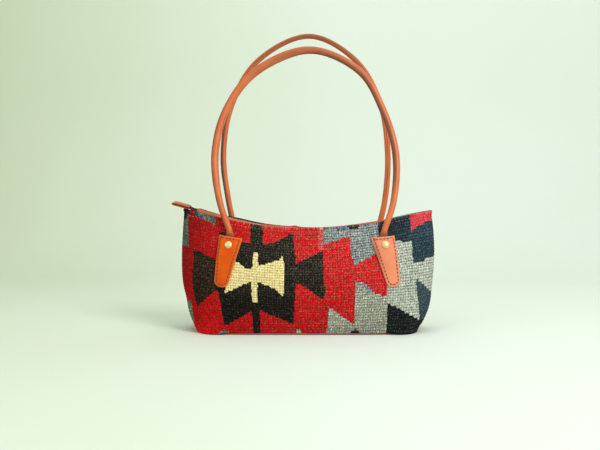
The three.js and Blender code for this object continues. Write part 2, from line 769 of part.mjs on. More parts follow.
function sliderBody() {
  const plate = () => roundedPlate(SLIDER_LENGTH, SLIDER_HALF_WIDTH, SLIDER_CORNER, SLIDER_PLATE);
  const postHeight = SLIDER_TOP - SLIDER_FLOOR;
  const post = new THREE.BoxGeometry(SLIDER_POST_LENGTH, 2 * SLIDER_POST_HALF_WIDTH, postHeight);
  return join([
    plate().translate(0, 0, SLIDER_TOP - SLIDER_PLATE),
    plate().translate(0, 0, SLIDER_FLOOR - SLIDER_PLATE),
    post.translate(0, 0, (SLIDER_TOP + SLIDER_FLOOR - SLIDER_PLATE) / 2),
    bridgeBody(),
  ]);
}

// Flat pull with a window that the bridge passes through
function pullBody() {
  const tipRadius = PULL_HALF_WIDTH;
  const eyeEnd = PULL_THICKNESS / 2;
  const outline = new THREE.Shape();
  outline.moveTo(eyeEnd, -PULL_HALF_WIDTH);
  outline.lineTo(eyeEnd, PULL_HALF_WIDTH);
  outline.lineTo(tipRadius - PULL_LENGTH, PULL_HALF_WIDTH);
  outline.absarc(tipRadius - PULL_LENGTH, 0, tipRadius, Math.PI / 2, 1.5 * Math.PI, false);
  outline.closePath();
  const windowHalf = BRIDGE_WIDTH / 2 + PULL_CLEARANCE;
  const windowEnd = -BRIDGE_RADIUS - PULL_CLEARANCE;
  const gap = new THREE.Path();
  gap.moveTo(-eyeEnd, -windowHalf);
  gap.lineTo(-eyeEnd, windowHalf);
  gap.lineTo(windowEnd, windowHalf);
  gap.lineTo(windowEnd, -windowHalf);
  gap.closePath();
  outline.holes.push(gap);
  const options = { depth: PULL_THICKNESS, bevelEnabled: false, curveSegments: 2 * CAP_STEPS };
  return new THREE.ExtrudeGeometry(outline, options).translate(0, 0, -PULL_THICKNESS / 2);
}

const slider = new THREE.Group();
slider.position.copy(zipPoint(zipDistance(SLIDER_CLOSED_X), 0, 0));
slider.rotation.y = -zipDistance(SLIDER_CLOSED_X) / ZIP_RADIUS;
bag.add(slider);
addPiece("zip_slider", sliderBody(), BRASS, slider);
addPiece("zip_pull", pullBody(), BRASS, slider).position.z = PULL_AXIS;

// Rolled handles: an arch in its own plane, tilted about the line through its two ends

const HANDLE_ROOT = -HANDLE_FOOT_RADIUS - FIT;
const handleFoot = abovePanel(1, HANDLE_FOOT_OUT, HANDLE_ROOT, HANDLE_FOOT_RADIUS + FIT);

function handleArch({ rise, spread, kneeShare, sway, shoulder, crown }) {
  const footX = handleFoot.x - FOOT_SWAY;
  const halfSpan = TAB_TOP_X + spread;
  const upper = (share) => lerp(HANDLE_WIDEST_HEIGHT, rise, share);
  const bends = [
    [footX, 0, FOOT_SWAY],
    [lerp(footX, halfSpan, kneeShare), HANDLE_WIDEST_HEIGHT * ARCH_KNEE.riseShare, sway + ARCH_KNEE.sway],
    [halfSpan, HANDLE_WIDEST_HEIGHT, sway + WIDEST_SWAY],
    [halfSpan * shoulder.spanShare, upper(SHOULDER_RISE_SHARE), sway + shoulder.sway],
    [halfSpan * crown.spanShare, upper(CROWN_RISE_SHARE), sway + crown.sway],
  ];
  const right = bends.map(([x, h, off]) => new THREE.Vector3(off + x, 0, h));
  const left = bends.map(([x, h, off]) => new THREE.Vector3(off - x, 0, h)).reverse();
  const places = [...right, new THREE.Vector3(sway + TOP_SWAY, 0, rise), ...left];
  return new THREE.CatmullRomCurve3(places, false, "centripetal");
}

function handleBody(shape) {
  const arch = handleArch(shape);
  const ringAt = (middle, along, radius) => {
    const across = new THREE.Vector3(along.z, 0, -along.x);
    const ring = [];
    for (let i = 0; i < HANDLE_SIDES; i++) {
      const turn = (i / HANDLE_SIDES) * 2 * Math.PI;
      const point = middle.clone().addScaledVector(across, radius * Math.cos(turn));
      point.y += radius * Math.sin(turn);
      ring.push(point);
    }
    return ring;
  };
  const rings = [];
  const roundEnd = (at, outward) => {
    const middle = arch.getPointAt(at);
    const along = arch.getTangentAt(at);
    for (let k = 1; k <= CAP_STEPS; k++) {
      const step = outward > 0 ? k : CAP_STEPS + 1 - k;
      const turn = (step / (CAP_STEPS + 1)) * Math.PI / 2;
      const shifted = middle.clone().addScaledVector(along, outward * HANDLE_FOOT_RADIUS * Math.sin(turn));
      rings.push(ringAt(shifted, along, HANDLE_FOOT_RADIUS * Math.cos(turn)));
    }
  };
  roundEnd(0, -1);
  for (let k = 0; k <= HANDLE_STEPS; k++) {
    const middle = arch.getPointAt(k / HANDLE_STEPS);
    const full = THREE.MathUtils.smoothstep(middle.z, 0, HANDLE_WIDEST_HEIGHT);
    const radius = lerp(HANDLE_FOOT_RADIUS, shape.radius, full);
    rings.push(ringAt(middle, arch.getTangentAt(k / HANDLE_STEPS), radius));
  }
  roundEnd(1, 1);
  return loft(rings);
}

function addHandle(name, foot, shape) {
  const group = new THREE.Group();
  group.position.set(0, foot.y, foot.z);
  group.rotation.x = shape.lean;
  bag.add(group);
  addPiece(name, handleBody(shape), HANDLE_LEATHER, group);
}

const backFoot = handleFoot.clone().multiply(new THREE.Vector3(1, -1, 1));
addHandle("front_handle", handleFoot, FRONT_HANDLE);
addHandle("back_handle", backFoot, BACK_HANDLE);

export default bag;
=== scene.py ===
"""Looks of a small handbag of flat-woven wool with a leather base, rolled handles and a zipped mouth.
Shapes are worked out in millimetres and written in metres. +X along the mouth, +Y back, +Z up."""

import math

import bmesh
import bpy
import numpy as np
from mathutils import Matrix, Vector


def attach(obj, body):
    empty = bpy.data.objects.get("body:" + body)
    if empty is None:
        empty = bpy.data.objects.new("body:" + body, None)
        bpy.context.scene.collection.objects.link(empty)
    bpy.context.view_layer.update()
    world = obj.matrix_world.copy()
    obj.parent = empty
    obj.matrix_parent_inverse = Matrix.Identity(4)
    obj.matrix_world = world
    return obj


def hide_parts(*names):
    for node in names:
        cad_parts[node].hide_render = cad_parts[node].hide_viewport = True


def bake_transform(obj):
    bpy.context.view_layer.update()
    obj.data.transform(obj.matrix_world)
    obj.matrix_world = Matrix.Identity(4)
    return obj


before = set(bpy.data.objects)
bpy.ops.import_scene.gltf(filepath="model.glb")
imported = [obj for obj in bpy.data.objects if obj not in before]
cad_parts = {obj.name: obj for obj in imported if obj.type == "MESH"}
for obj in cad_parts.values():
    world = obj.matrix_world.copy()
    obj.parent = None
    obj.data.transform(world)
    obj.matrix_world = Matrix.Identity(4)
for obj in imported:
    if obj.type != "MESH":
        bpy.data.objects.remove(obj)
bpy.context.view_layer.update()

MM = 0.001
rng = np.random.default_rng(7)
SIDES = (("front", 1), ("back", -1))
HANDS = (("left", -1), ("right", 1))

# Gap between pieces that touch
FIT = 0.3

# Woven body
MOUTH_HEIGHT = 138.0
LEFT_CORNER_RISE = 22.5
RIGHT_CORNER_RISE = 23.0
EDGE_ROUNDING = 1.41
MOUTH_HALF_WIDTH = 167.5
SIDE_BULGE = 3.8
SIDE_TAPER = 16.6
SIDE_TAPER_POWER = 3
BASE_CORNER_CUT = 2.9
BASE_CORNER_POWER = 18
MOUTH_HALF_DEPTH = 32.0
BASE_HALF_DEPTH = 45.5
DEPTH_BULGE = 9.0
LENGTH_POWER = (7.0, 2.6)
DEPTH_POWER = (3.2, 1.5)
KILIM_THICKNESS = 4.0
BASE_THICKNESS = 2.5
SEAM_HEIGHT = BASE_THICKNESS + FIT
LINING_INSET = KILIM_THICKNESS + 2.8
LINING_THICKNESS = 0.8

# Zip
ZIP_LOW_X = 35.0
ZIP_LOW_HEIGHT = MOUTH_HEIGHT - 7.0
TAIL_START_X = 19.5 - MOUTH_HALF_WIDTH
TAIL_ABOVE_EDGE = 4.8
TAIL_LENGTH = 30.8
TAIL_FLARE = 10.0
TAIL_BEND = math.radians(3.9)
TAIL_ROLL = math.radians(5)
TAIL_TWIST = 9.0
TAPE_HALF_WIDTH = 10.0
TAPE_THICKNESS = 0.8
TAPE_BEYOND_FACING = 1.0
SLIT_HALF_WIDTH = 1.2
FACING_RIGHT_X = MOUTH_HALF_WIDTH - 27.5
FACING_INNER_Y = 5.2
FACING_THICKNESS = 1.6
FACING_DROP = 3.0
COIL_LEFT_X = TAIL_START_X + 16.0
COIL_RIGHT_X = FACING_RIGHT_X - 10.0

# Tabs, rivets and handle ends
TAB_TOP_X = MOUTH_HALF_WIDTH - 68.85
TAB_TOP_HEIGHT = MOUTH_HEIGHT - 11.5
TABS_OFF_CENTRE = -1.65
TAB_TILT = math.radians(12.05)
TABS_TURN = math.radians(0.75)
TAB_TOP_SKEW = 1.4
TABS_TOP_TURN = 0.8
TAB_LENGTH = 65.6
TAB_TOP_WIDTH = 31.0
TAB_END_WIDTH = 17.4
TAB_THICKNESS = 2.6
TAB_SEAT = 3.5
HANDLE_END_LENGTH = 22.0
HANDLE_END_HALF_WIDTH = 5.5
HANDLE_END_HALF_THICKNESS = 1.6
RIVET_BELOW_TOP = 12.0
RIVET_RADIUS = 4.8
RIVET_HEIGHT = 2.4


def lerp(a, b, t):
    return a + (b - a) * t


def smoothstep(x, low, high):
    t = np.clip((np.asarray(x, float) - low) / (high - low), 0, 1)
    return t * t * (3 - 2 * t)


def fade(x, low, high):
    return 1 - smoothstep(x, low, high)


def bells(x, waves):
    """Sum of bell curves, each given by its height, middle and half-width."""
    return sum(height * np.exp(-(((x - middle) / half) ** 2)) for height, middle, half in waves)


# Shape of the woven wall: v from the base seam to the top edge, q across the panel


def half_width(v):
    taper = SIDE_TAPER * (1 - v) ** SIDE_TAPER_POWER + BASE_CORNER_CUT * (1 - v) ** BASE_CORNER_POWER
    return MOUTH_HALF_WIDTH + SIDE_BULGE * np.sin(np.pi * v) - taper


def half_depth(v):
    return lerp(BASE_HALF_DEPTH, MOUTH_HALF_DEPTH, v) + DEPTH_BULGE * np.sin(np.pi * v)


def plan_depth(q, v):
    inside = np.maximum(0, 1 - np.abs(q) ** lerp(*LENGTH_POWER, v))
    return inside ** (1 / lerp(*DEPTH_POWER, v))


def top_edge(x):
    rise = np.where(np.asarray(x) < 0, LEFT_CORNER_RISE, RIGHT_CORNER_RISE)
    t = np.abs(x) / MOUTH_HALF_WIDTH
    return MOUTH_HEIGHT + rise * (EDGE_ROUNDING * t**2 - (EDGE_ROUNDING - 1) * t**4)


def wall_depth(x, z, inset=0.0):
    v = np.clip((z - SEAM_HEIGHT) / (top_edge(x) - SEAM_HEIGHT), 0, 1)
    return (half_depth(v) - inset) * plan_depth(x / (half_width(v) - inset), v)


def wall_normal(x, z):
    step = 0.3
    dx = wall_depth(x + step, z) - wall_depth(x - step, z)
    dz = wall_depth(x, z + step) - wall_depth(x, z - step)
    return unit(np.stack([-dx, np.full_like(dx, -2 * step), -dz], -1))


def wall_point(x, z):
    return np.stack([x, -wall_depth(x, z), z], -1)


# Paths and meshes

WELD = 1e-6


def unit(vectors):
    return vectors / np.maximum(np.linalg.norm(vectors, axis=-1, keepdims=True), 1e-9)


def distances(path):
    """How far along a path each of its points lies."""
    return np.concatenate([[0], np.cumsum(np.linalg.norm(np.diff(path, axis=0), axis=1))])


def along_path(path, shares):
    """Points of a path at shares of its length."""
    far = distances(path)
    return np.stack([np.interp(shares * far[-1], far, values) for values in path.T], -1)


def resampled(path, step, closed=False):
    """Points along a path, step apart as nearly as its length allows."""
    path = np.asarray(path, float)
    if closed:
        path = np.concatenate([path, path[:1]])
    count = max(2, int(round(distances(path)[-1] / step)))
    made = along_path(path, np.linspace(0, 1, count + 1))
    return made[:-1] if closed else made


def full_turn(count):
    return np.linspace(0, 2 * np.pi, count, endpoint=False)


def circle(count, first, second):
    """Points of a unit circle in the plane of two directions."""
    turns = full_turn(count)[:, None]
    return np.cos(turns) * first + np.sin(turns) * second


def to_side(points, side):
    return np.asarray(points) * np.array([1, side, 1])


def smooth(mesh):
    mesh.polygons.foreach_set("use_smooth", np.ones(len(mesh.polygons), bool))


def make_mesh(name, points, faces):
    mesh = bpy.data.meshes.new(name)
    mesh.from_pydata((np.asarray(points) * MM).tolist(), [], faces)
    smooth(mesh)
    made = bpy.data.objects.new(name, mesh)
    bpy.context.scene.collection.objects.link(made)
    return made


def numbered(rows, columns):
    """Numbers of the points of a grid."""
    return np.arange(rows * columns).reshape(rows, columns)


def quads(grid):
    """Faces between the numbered points of a grid."""
    corners = (grid[:-1, :-1], grid[:-1, 1:], grid[1:, 1:], grid[1:, :-1])
    return np.stack(corners, -1).reshape(-1, 4).tolist()


def tube(rings, closed=True):
    """Points and faces through rings of points; its ends are closed or left open."""
    rings = np.asarray(rings)
    grid = numbered(*rings.shape[:2])
    faces = quads(np.column_stack([grid, grid[:, 0]]))
    if closed:
        faces += [grid[0, ::-1].tolist(), grid[-1].tolist()]
    return rings.reshape(-1, 3), faces


def joined(parts):
    """Points and faces of several meshes as one."""
    points, faces, first = [], [], 0
    for part_points, part_faces in parts:
        points.append(np.asarray(part_points))
        faces.extend([[first + i for i in face] for face in part_faces])
        first += len(part_points)
    return np.concatenate(points), faces


def face_outward(made):
    work = bmesh.new()
    work.from_mesh(made.data)
    bmesh.ops.remove_doubles(work, verts=work.verts, dist=WELD)
    bmesh.ops.recalc_face_normals(work, faces=work.faces)
    work.to_mesh(made.data)
    work.free()
    smooth(made.data)
    return made


def set_edge_colour_and_painted_shade(made, amounts):
    """How far each point takes the leather's edge colour: the cut edges' own colour, and on the handles also
    painted shade.
    """
    layer = made.data.attributes.new("edge", "FLOAT", "POINT")
    layer.data.foreach_set("value", np.asarray(amounts, np.float32).ravel())


def dress(made, material, slot, *nodes):
    made.data.materials.append(material)
    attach(made, "bag")
    if nodes:
        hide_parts(*nodes)
    return made


# Thread


def stitch_parts(starts, ends, ups, radius, sink=0.35, bow=0.25, sides=6):
    """A bowed stitch from each start to its end, with its width and lift at shares of its length."""
    profile = [(0.0, 0.55, -sink), (0.14, 0.95, 0.0), (0.5, 1.0, bow), (0.86, 0.95, 0.0), (1.0, 0.55, -sink)]
    parts = []
    for start, end, up in zip(starts, ends, np.broadcast_to(ups, starts.shape)):
        ring = circle(sides, unit(np.cross(unit(end - start), up)), up)
        parts.append(tube([lerp(start, end, share) + up * lift + radius * width * ring
                           for share, width, lift in profile]))
    return parts


def sew(name, parts, material, slot, *nodes):
    return dress(face_outward(make_mesh(name, *joined(parts))), material, slot, *nodes)


# Weave: ribs up the panel, each of a few rows of the mesh, and columns along it, a few to each bead
RIBS = 42
RIB_ROWS = 4
COLUMNS = 348
BEAD_COLUMNS = 3

# Materials

# Metres from band to band of a wave texture at a scale of one
WAVE_LENGTH = 0.314


def srgb(red, green, blue):
    values = np.array([red, green, blue]) / 255
    linear = np.where(values <= 0.04045, values / 12.92, ((values + 0.055) / 1.055) ** 2.4)
    return (*linear.tolist(), 1.0)


class Nodes:
    """A node tree that is filled node by node."""

    def __init__(self, owner):
        owner.use_nodes = True
        self.tree = owner.node_tree

    def put(self, value, socket):
        if isinstance(value, bpy.types.NodeSocket):
            self.tree.links.new(value, socket)
        else:
            socket.default_value = value

    def node(self, kind, inputs=(), output=0, **settings):
        """An output of a new node, whose inputs are given by name or number, or in order."""
        made = self.tree.nodes.new(kind)
        for key, value in settings.items():
            setattr(made, key, value)
        for key, value in inputs.items() if isinstance(inputs, dict) else enumerate(inputs):
            self.put(value, made.inputs[key])
        return made.outputs[output]

    def math(self, operation, a, b=0.0):
        return self.node("ShaderNodeMath", (a, b), operation=operation)

    def ramp(self, value, low, high, to_low=0.0, to_high=1.0):
        return self.node("ShaderNodeMapRange", (value, low, high, to_low, to_high))


class Look(Nodes):
    """A material and its shader."""

    def __init__(self, name, roughness, **sockets):
        self.made = bpy.data.materials.new(name)
        super().__init__(self.made)
        self.shader = self.tree.nodes["Principled BSDF"]
        self.link(roughness, "Roughness")
        for socket, value in sockets.items():
            self.link(value, socket.replace("_", " "))

    def link(self, value, socket):
        self.put(value, self.shader.inputs[socket])

    def place(self):
        return self.node("ShaderNodeTexCoord", output="Object")

    def noise(self, scale, detail=3.0):
        inputs = {"Scale": scale, "Detail": detail, "Roughness": 0.55, "Vector": self.place()}
        return self.node("ShaderNodeTexNoise", inputs)

    def mix(self, factor, a, b, blend="MIX"):
        inputs = {0: factor, 6: a, 7: b}
        return self.node("ShaderNodeMix", inputs, output=2, data_type="RGBA", blend_type=blend)

    def bump(self, height, strength, distance, normal=None):
        """Gives the surface relief, over that of normal where it is given."""
        inputs = {"Height": height, "Strength": strength, "Distance": distance}
        if normal is not None:
            inputs["Normal"] = normal
        made = self.node("ShaderNodeBump", inputs)
        self.link(made, "Normal")
        return made

    def attribute(self, name, output):
        return self.node("ShaderNodeAttribute", output=output, attribute_name=name)


def leather(name, main, shade, edge, shine=(0.45, 0.65), gloss=0.28):
    """Smooth leather with a fine grain, cloudy dye and cut edges of another colour."""
    clouds, flecks, sheen, grain, creases = 38.0, 420.0, 160.0, 950.0, 90.0
    look = Look(name, 0.6, Specular_IOR_Level=gloss)
    colour = look.mix(look.ramp(look.noise(clouds, 4.0), 0.3, 0.72), srgb(*main), srgb(*shade))
    colour = look.mix(look.ramp(look.noise(flecks, 2.0), 0.55, 0.75, 0.0, 0.3), colour, srgb(*shade))
    look.link(look.mix(look.attribute("edge", "Fac"), colour, srgb(*edge)), "Base Color")
    look.link(look.ramp(look.noise(sheen, 4.0), 0.3, 0.7, *shine), "Roughness")
    cells = look.node("ShaderNodeTexVoronoi", {"Vector": look.place(), "Scale": grain})
    coarse = look.bump(look.noise(creases, 5.0), 0.25, 0.0006)
    look.bump(cells, 0.22, 0.00025, coarse)
    return look.made


def thread(name, main, shade):
    look = Look(name, 0.75, Sheen_Weight=0.15)
    strands = look.noise(1500.0, 2.0)
    look.link(look.mix(look.ramp(strands, 0.35, 0.65), srgb(*main), srgb(*shade)), "Base Color")
    look.bump(strands, 0.5, 0.0002)
    return look.made


def brass():
    stains, polish, pits = 120.0, 600.0, 900.0
    look = Look("brass", 0.28, Metallic=1.0)
    stain = look.ramp(look.noise(stains, 5.0), 0.4, 0.75)
    look.link(look.mix(stain, srgb(238, 216, 152), srgb(200, 166, 100)), "Base Color")
    look.link(look.ramp(look.noise(polish, 3.0), 0.3, 0.7, 0.26, 0.4), "Roughness")
    look.bump(look.noise(pits, 2.0), 0.08, 0.0001)
    return look.made


def kilim():
    """Weft-faced wool: ribs of yarn along the bag, crossed by shallow furrows, with painted shade in the
    furrows.
    """
    look = Look("kilim", 0.95, Specular_IOR_Level=0.1)

    def rounds(value, width, power):
        wave = look.math("SINE", look.math("MULTIPLY", value, math.pi / width))
        return look.math("POWER", look.math("ABSOLUTE", wave), power)

    weave = look.node("ShaderNodeUVMap", uv_map="weave")
    split = look.node("ShaderNodeSeparateXYZ", {"Vector": weave}).node.outputs
    yarn = look.math("MULTIPLY", rounds(split["X"], BEAD_COLUMNS, 0.5), rounds(split["Y"], 1, 0.6))
    fibres = look.noise(1400.0, 3.0)
    # Painted shade and light of the weave's relief: darker in the furrows between ribs and beads, lighter on
    # their crests; the fibres vary it at random.
    shade = look.ramp(yarn, 0.0, 0.8, 0.64, 1.11)
    shade = look.math("ADD", shade, look.ramp(fibres, 0.3, 0.7, -0.12, 0.08))
    grey = look.node("ShaderNodeCombineColor", (shade, shade, shade))
    look.link(look.mix(1.0, look.attribute("yarn", "Color"), grey, "MULTIPLY"), "Base Color")
    coarse = look.bump(yarn, 0.5, 0.0007)
    look.bump(fibres, 0.35, 0.0003, coarse)
    return look.made


def woven(name, main, shade, pitch):
    """Plain-woven cloth of fine thread."""
    look = Look(name, 0.9, Specular_IOR_Level=0.15)
    waves = []
    for direction in ("X", "Y", "Z"):
        inputs = {"Vector": look.place(), "Scale": WAVE_LENGTH / (pitch * MM) / 2, "Distortion": 0.4}
        waves.append(look.node("ShaderNodeTexWave", inputs, output="Fac", bands_direction=direction))
    mesh = look.math("MULTIPLY", look.math("MAXIMUM", waves[0], waves[1]), waves[2])
    clouds = look.ramp(look.noise(60.0, 3.0), 0.3, 0.7, 0.75, 1.0)
    tone = look.math("MULTIPLY", look.ramp(mesh, 0.0, 1.0, 0.55, 1.0), clouds)
    look.link(look.mix(tone, srgb(*shade), srgb(*main)), "Base Color")
    look.bump(mesh, 0.5, 0.0003)
    return look.made


def nylon():
    look = Look("nylon_coil", 0.42)
    look.link(look.mix(look.noise(300.0), srgb(62, 32, 34), srgb(38, 20, 22)), "Base Color")
    look.bump(look.noise(1600.0, 2.0), 0.2, 0.0001)
    return look.made


LEATHERS = {
    "orange": leather("leather_orange", (230, 94, 6), (208, 76, 2), (238, 116, 30), gloss=0.15),
    # Painted light: the orange leather drawn paler, as lit by a wash of light, for the pale tabs.
    "pale": leather("leather_orange_painted_lit", (234, 144, 106), (218, 124, 86), (236, 142, 100)),
    "facing": leather("leather_facing", (208, 106, 54), (186, 88, 40), (170, 80, 38)),
    "base": leather("leather_base", (204, 90, 34), (182, 74, 26), (214, 94, 32)),
    # The handle's edge colour also paints shade: by the seam, on the left leg's rim and where the feet go
    # under the tabs.
    "handle": leather("leather_handle", (219, 120, 68), (196, 96, 50), (94, 54, 36), (0.3, 0.48), 0.32),
}
THREAD = thread("thread_dark", (92, 72, 74), (54, 40, 42))
SEAM_THREAD = thread("thread_pale", (176, 156, 132), (138, 120, 100))
BRASS = brass()
KILIM = kilim()
TAPE = woven("zip_tape_weave", (88, 34, 38), (44, 16, 20), 0.7)
COTTON = woven("lining_cotton", (170, 150, 122), (128, 108, 84), 0.6)
NYLON = nylon()


# Pattern of the kilim

# Yarn: colour, colour of the warp's flecks in it (on grey, stone, silver and pale a dark colour that paints
# shade in the furrows), how strong they are, spread of tone between stitches
YARNS = {
    "red": ((190, 13, 14), (222, 122, 112), 0.3, 0.26),
    "bright": ((186, 54, 52), (226, 168, 158), 0.45, 0.22),
    "pink": ((196, 34, 50), (222, 120, 126), 0.3, 0.26),
    "black": ((25, 23, 17), (128, 116, 102), 0.29, 0.75),
    "ink": ((24, 29, 29), (96, 106, 104), 0.22, 0.5),
    "brown": ((40, 31, 23), (136, 104, 72), 0.5, 0.7),
    "cream": ((240, 222, 158), (202, 160, 84), 0.4, 0.18),
    "green": ((98, 106, 92), (160, 170, 156), 0.4, 0.46),
    "grey": ((139, 147, 145), (54, 58, 58), 0.42, 0.36),
    "stone": ((174, 176, 157), (70, 68, 58), 0.42, 0.32),
    "silver": ((186, 192, 176), (82, 86, 78), 0.36, 0.26),
    "pale": ((190, 194, 178), (92, 94, 84), 0.34, 0.28),
    "navy": ((26, 46, 56), (92, 112, 120), 0.24, 0.44),
    "midnight": ((18, 34, 42), (86, 102, 106), 0.24, 0.5),
    "slate": ((53, 69, 76), (106, 120, 126), 0.26, 0.4),
    "blue": ((50, 74, 108), (134, 150, 170), 0.4, 0.5),
    "sky": ((96, 134, 164), (176, 190, 186), 0.4, 0.4),
}
KINDS = list(YARNS)
RED = KINDS.index("red")

# Fields of colour on the front, in the order they are laid over red: x along the bag, z up
FIELDS = [
    ("green", [(-171, 157), (-160, 157), (-158, 113), (-171, 115)]),
    ("navy", [(-171, 175), (-156, 175), (-157, 155), (-161, 152), (-163, 148), (-171, 147)]),
    ("green", [(-154, 165), (-120, 165), (-122, 141), (-142, 149), (-153, 155)]),
    ("blue", [(-151, 156), (-146, 154), (-146, 151.5), (-151, 153.5)]),
    ("blue", [(-143.5, 153), (-139.5, 151.5), (-139.5, 147), (-143.5, 149)]),
    ("green", [(-165, 39), (-155, 43), (-152, 31), (-150, 13), (-161, 9)]),
    ("brown", [(-152, 110), (-139, 106), (-127, 100), (-112, 96), (-111, 57), (-121, 57), (-131, 49),
               (-145, 36), (-149, 45), (-152, 72), (-150, 101)]),
    ("black", [(-75, 155), (-58, 155), (-59, 116), (-40, 121), (-24, 130), (-19, 130), (-16, 92),
               (-16, 67), (-19, 14), (-62, 32), (-62, -5), (-70, -5), (-73, 31), (-106, 12), (-109, 12),
               (-116, 57), (-117, 133), (-110, 132), (-94, 122), (-75, 118)]),
    ("black", [(-18, 91), (19, 109), (20, 70), (22, 56), (20, 48), (16, 48), (-10, 66), (-18, 67)]),
    ("cream", [(-102, 101), (-80, 86), (-72, 87), (-71, 106.5), (-65.3, 106.5), (-64.6, 89), (-37, 97),
               (-34, 102), (-31, 94), (-32, 50), (-43, 60), (-65.5, 69), (-65.5, 42), (-72, 42),
               (-74, 69), (-83, 66), (-108, 54), (-104, 94)]),
    ("bright", [(13, 155), (20, 155), (20, 110), (14, 110)]),
    ("grey", [(20, 159), (21, 117), (55, 128), (55, 112), (59, 92), (63, 92), (89, 105), (104, 109),
              (104, 159)]),
    ("stone", [(61, 70), (67, 68), (83, 56), (104, 48), (106, -5), (23, -5), (27, 35), (30, 35), (57, 15),
               (60, 15)]),
    ("silver", [(104, 130), (102, 47), (106, 35), (180, -5), (180, 128)]),
    ("pale", [(138, 103), (141, 72), (152, 61), (180, 43), (180, 107)]),
    ("navy", [(92, 170), (92, 131), (99, 120), (135, 121), (137, 91), (150, 95), (180, 105), (180, 170)]),
    ("midnight", [(92, 170), (92, 131), (99, 120), (131, 121), (134, 170)]),
    ("pink", [(134, 170), (136, 133), (147, 141), (180, 155), (180, 170)]),
    ("slate", [(140, 72), (150, 65), (162, 53), (180, 44), (180, 12), (145, 17)]),
    ("ink", [(103, 41), (118, 34), (144, 18), (180, 11), (180, -13), (101, -5)]),
    ("blue", [(38.5, 138.5), (41.5, 138.5), (41.5, 135.5), (38.5, 135.5)]),
    ("blue", [(44, 139), (50, 139), (50, 136), (44, 136)]),
    ("black", [(49, 150), (69, 150), (67, 140), (62, 136), (56, 135.5), (52, 139)]),
    ("black", [(54, 3), (57, 6.5), (61, 8), (65, 6), (68, 2), (68, -5), (54, -5)]),
    ("green", [(-117, -5), (-116, 4), (-109, 8), (-103, 6), (-103, -5)]),
    ("pale", [(-16, 3), (-14, 8), (-10, 7), (-9, 3)]),
    ("sky", [(69, 69), (76, 63.5), (84, 56.5), (80, 55.5), (70, 64)]),
]
FRONT_ONLY = ("blue", "sky")

# The back repeats the larger fields end for end, with dark cloth along the left of its edge
BACK_FIELDS = [(yarn, [(-x, z) for x, z in corners]) for yarn, corners in FIELDS if yarn not in FRONT_ONLY]
BACK_FIELDS += [("red", [(-100, 170), (-100, 128), (30, 120), (30, 170)]),
                ("black", [(-132, 175), (-130, 126), (-64, 118), (-58, 170)])]

# How far the steps of a field stray along each rib
STEP_DRIFT = 0.32

# Light that a yarn gives back: dark below this, and never outside these
DARK_LEVEL = 0.04
TONE_LIMITS = (0.003, 0.95)


def by_stitch(values):
    return np.repeat(values, 2, axis=0)


def by_rib(values):
    return np.repeat(values, RIB_ROWS, axis=0)


def inside(corners, x, z):
    """Which points lie in a polygon."""
    found = np.zeros(x.shape, bool)
    for (here_x, here_z), (last_x, last_z) in zip(corners, corners[-1:] + corners[:-1]):
        if here_z != last_z:
            crossing = (here_z > z) != (last_z > z)
            found ^= crossing & (x < (last_x - here_x) * (z - here_z) / (last_z - here_z) + here_x)
    return found


def stitch_kinds(x, z, fields):
    """Yarn of every stitch, by the field it lies in; towards the right its steps keep to whole ribs."""
    drift = by_rib(rng.normal(0, STEP_DRIFT, (RIBS, 1)))
    rib_level = by_rib(z.reshape(RIBS, RIB_ROWS, -1).mean(1))
    stitch_level = by_stitch(0.5 * (z[::2] + z[1::2]))
    whole = lerp(0.4, 0.9, smoothstep(x, 20, 80))
    level = lerp(stitch_level, rib_level, whole)
    kind = np.full(x.shape, RED)
    for yarn, corners in fields:
        kind[inside(corners, x + drift, level)] = KINDS.index(yarn)
    return kind


def fleck_amount(x, strength, dark, upper):
    """How much of the fleck colour shows: most in dots along the furrows, more to the right and high up; on
    most yarns it is the warp showing, on the grey ones painted shade in the furrows.
    """
    rows, columns = x.shape
    furrow = np.isin(np.arange(rows)[:, None] % RIB_ROWS, (0, RIB_ROWS - 1))
    dot = furrow & (np.arange(columns)[None, :] % BEAD_COLUMNS == 0)
    streak = np.roll(by_stitch(rng.uniform(0.1, 0.7, (rows // 2, 1))), -1, axis=0)
    rightward = 1 + x / 190
    shown = rightward * lerp(0.5 - 0.15 * dark, 1.1, upper)
    amount = strength * shown * by_stitch(rng.exponential(1.0, (rows // 2, columns)))
    return np.clip(amount * np.where(dot, 1.6, np.where(furrow, streak, 0.12)), 0, 0.9)


def cloth_tone_and_painted_light(x, z, red, dark, upper):
    """Tone of the cloth, as a power of e: cloudy at random, darker low down and along the foot, changed by
    the top edge; at the left end painted shade high up, where the light falls off, and painted light near the
    foot.
    """
    clouds = 0.06 * np.sin(x / 23 + 1.3) * np.sin(z / 31 + x / 90)
    left, left_up = smoothstep(-x, 95, 160), smoothstep(z, 15, 100)
    seam, edge = fade(z, 4, 24), smoothstep(z, 116, 132)
    # At the left end: painted shade high up, where the light falls off, and painted light near the foot.
    at_left = np.where(red, -0.58 * left_up, lerp(0.3, -0.36, left_up))
    tone = clouds + lerp(-0.14 - 0.7 * dark, 0.04, upper) + left * at_left
    return tone + lerp(-0.2, 0.7, left) * seam + np.where(red, -0.05, 0.1) * edge


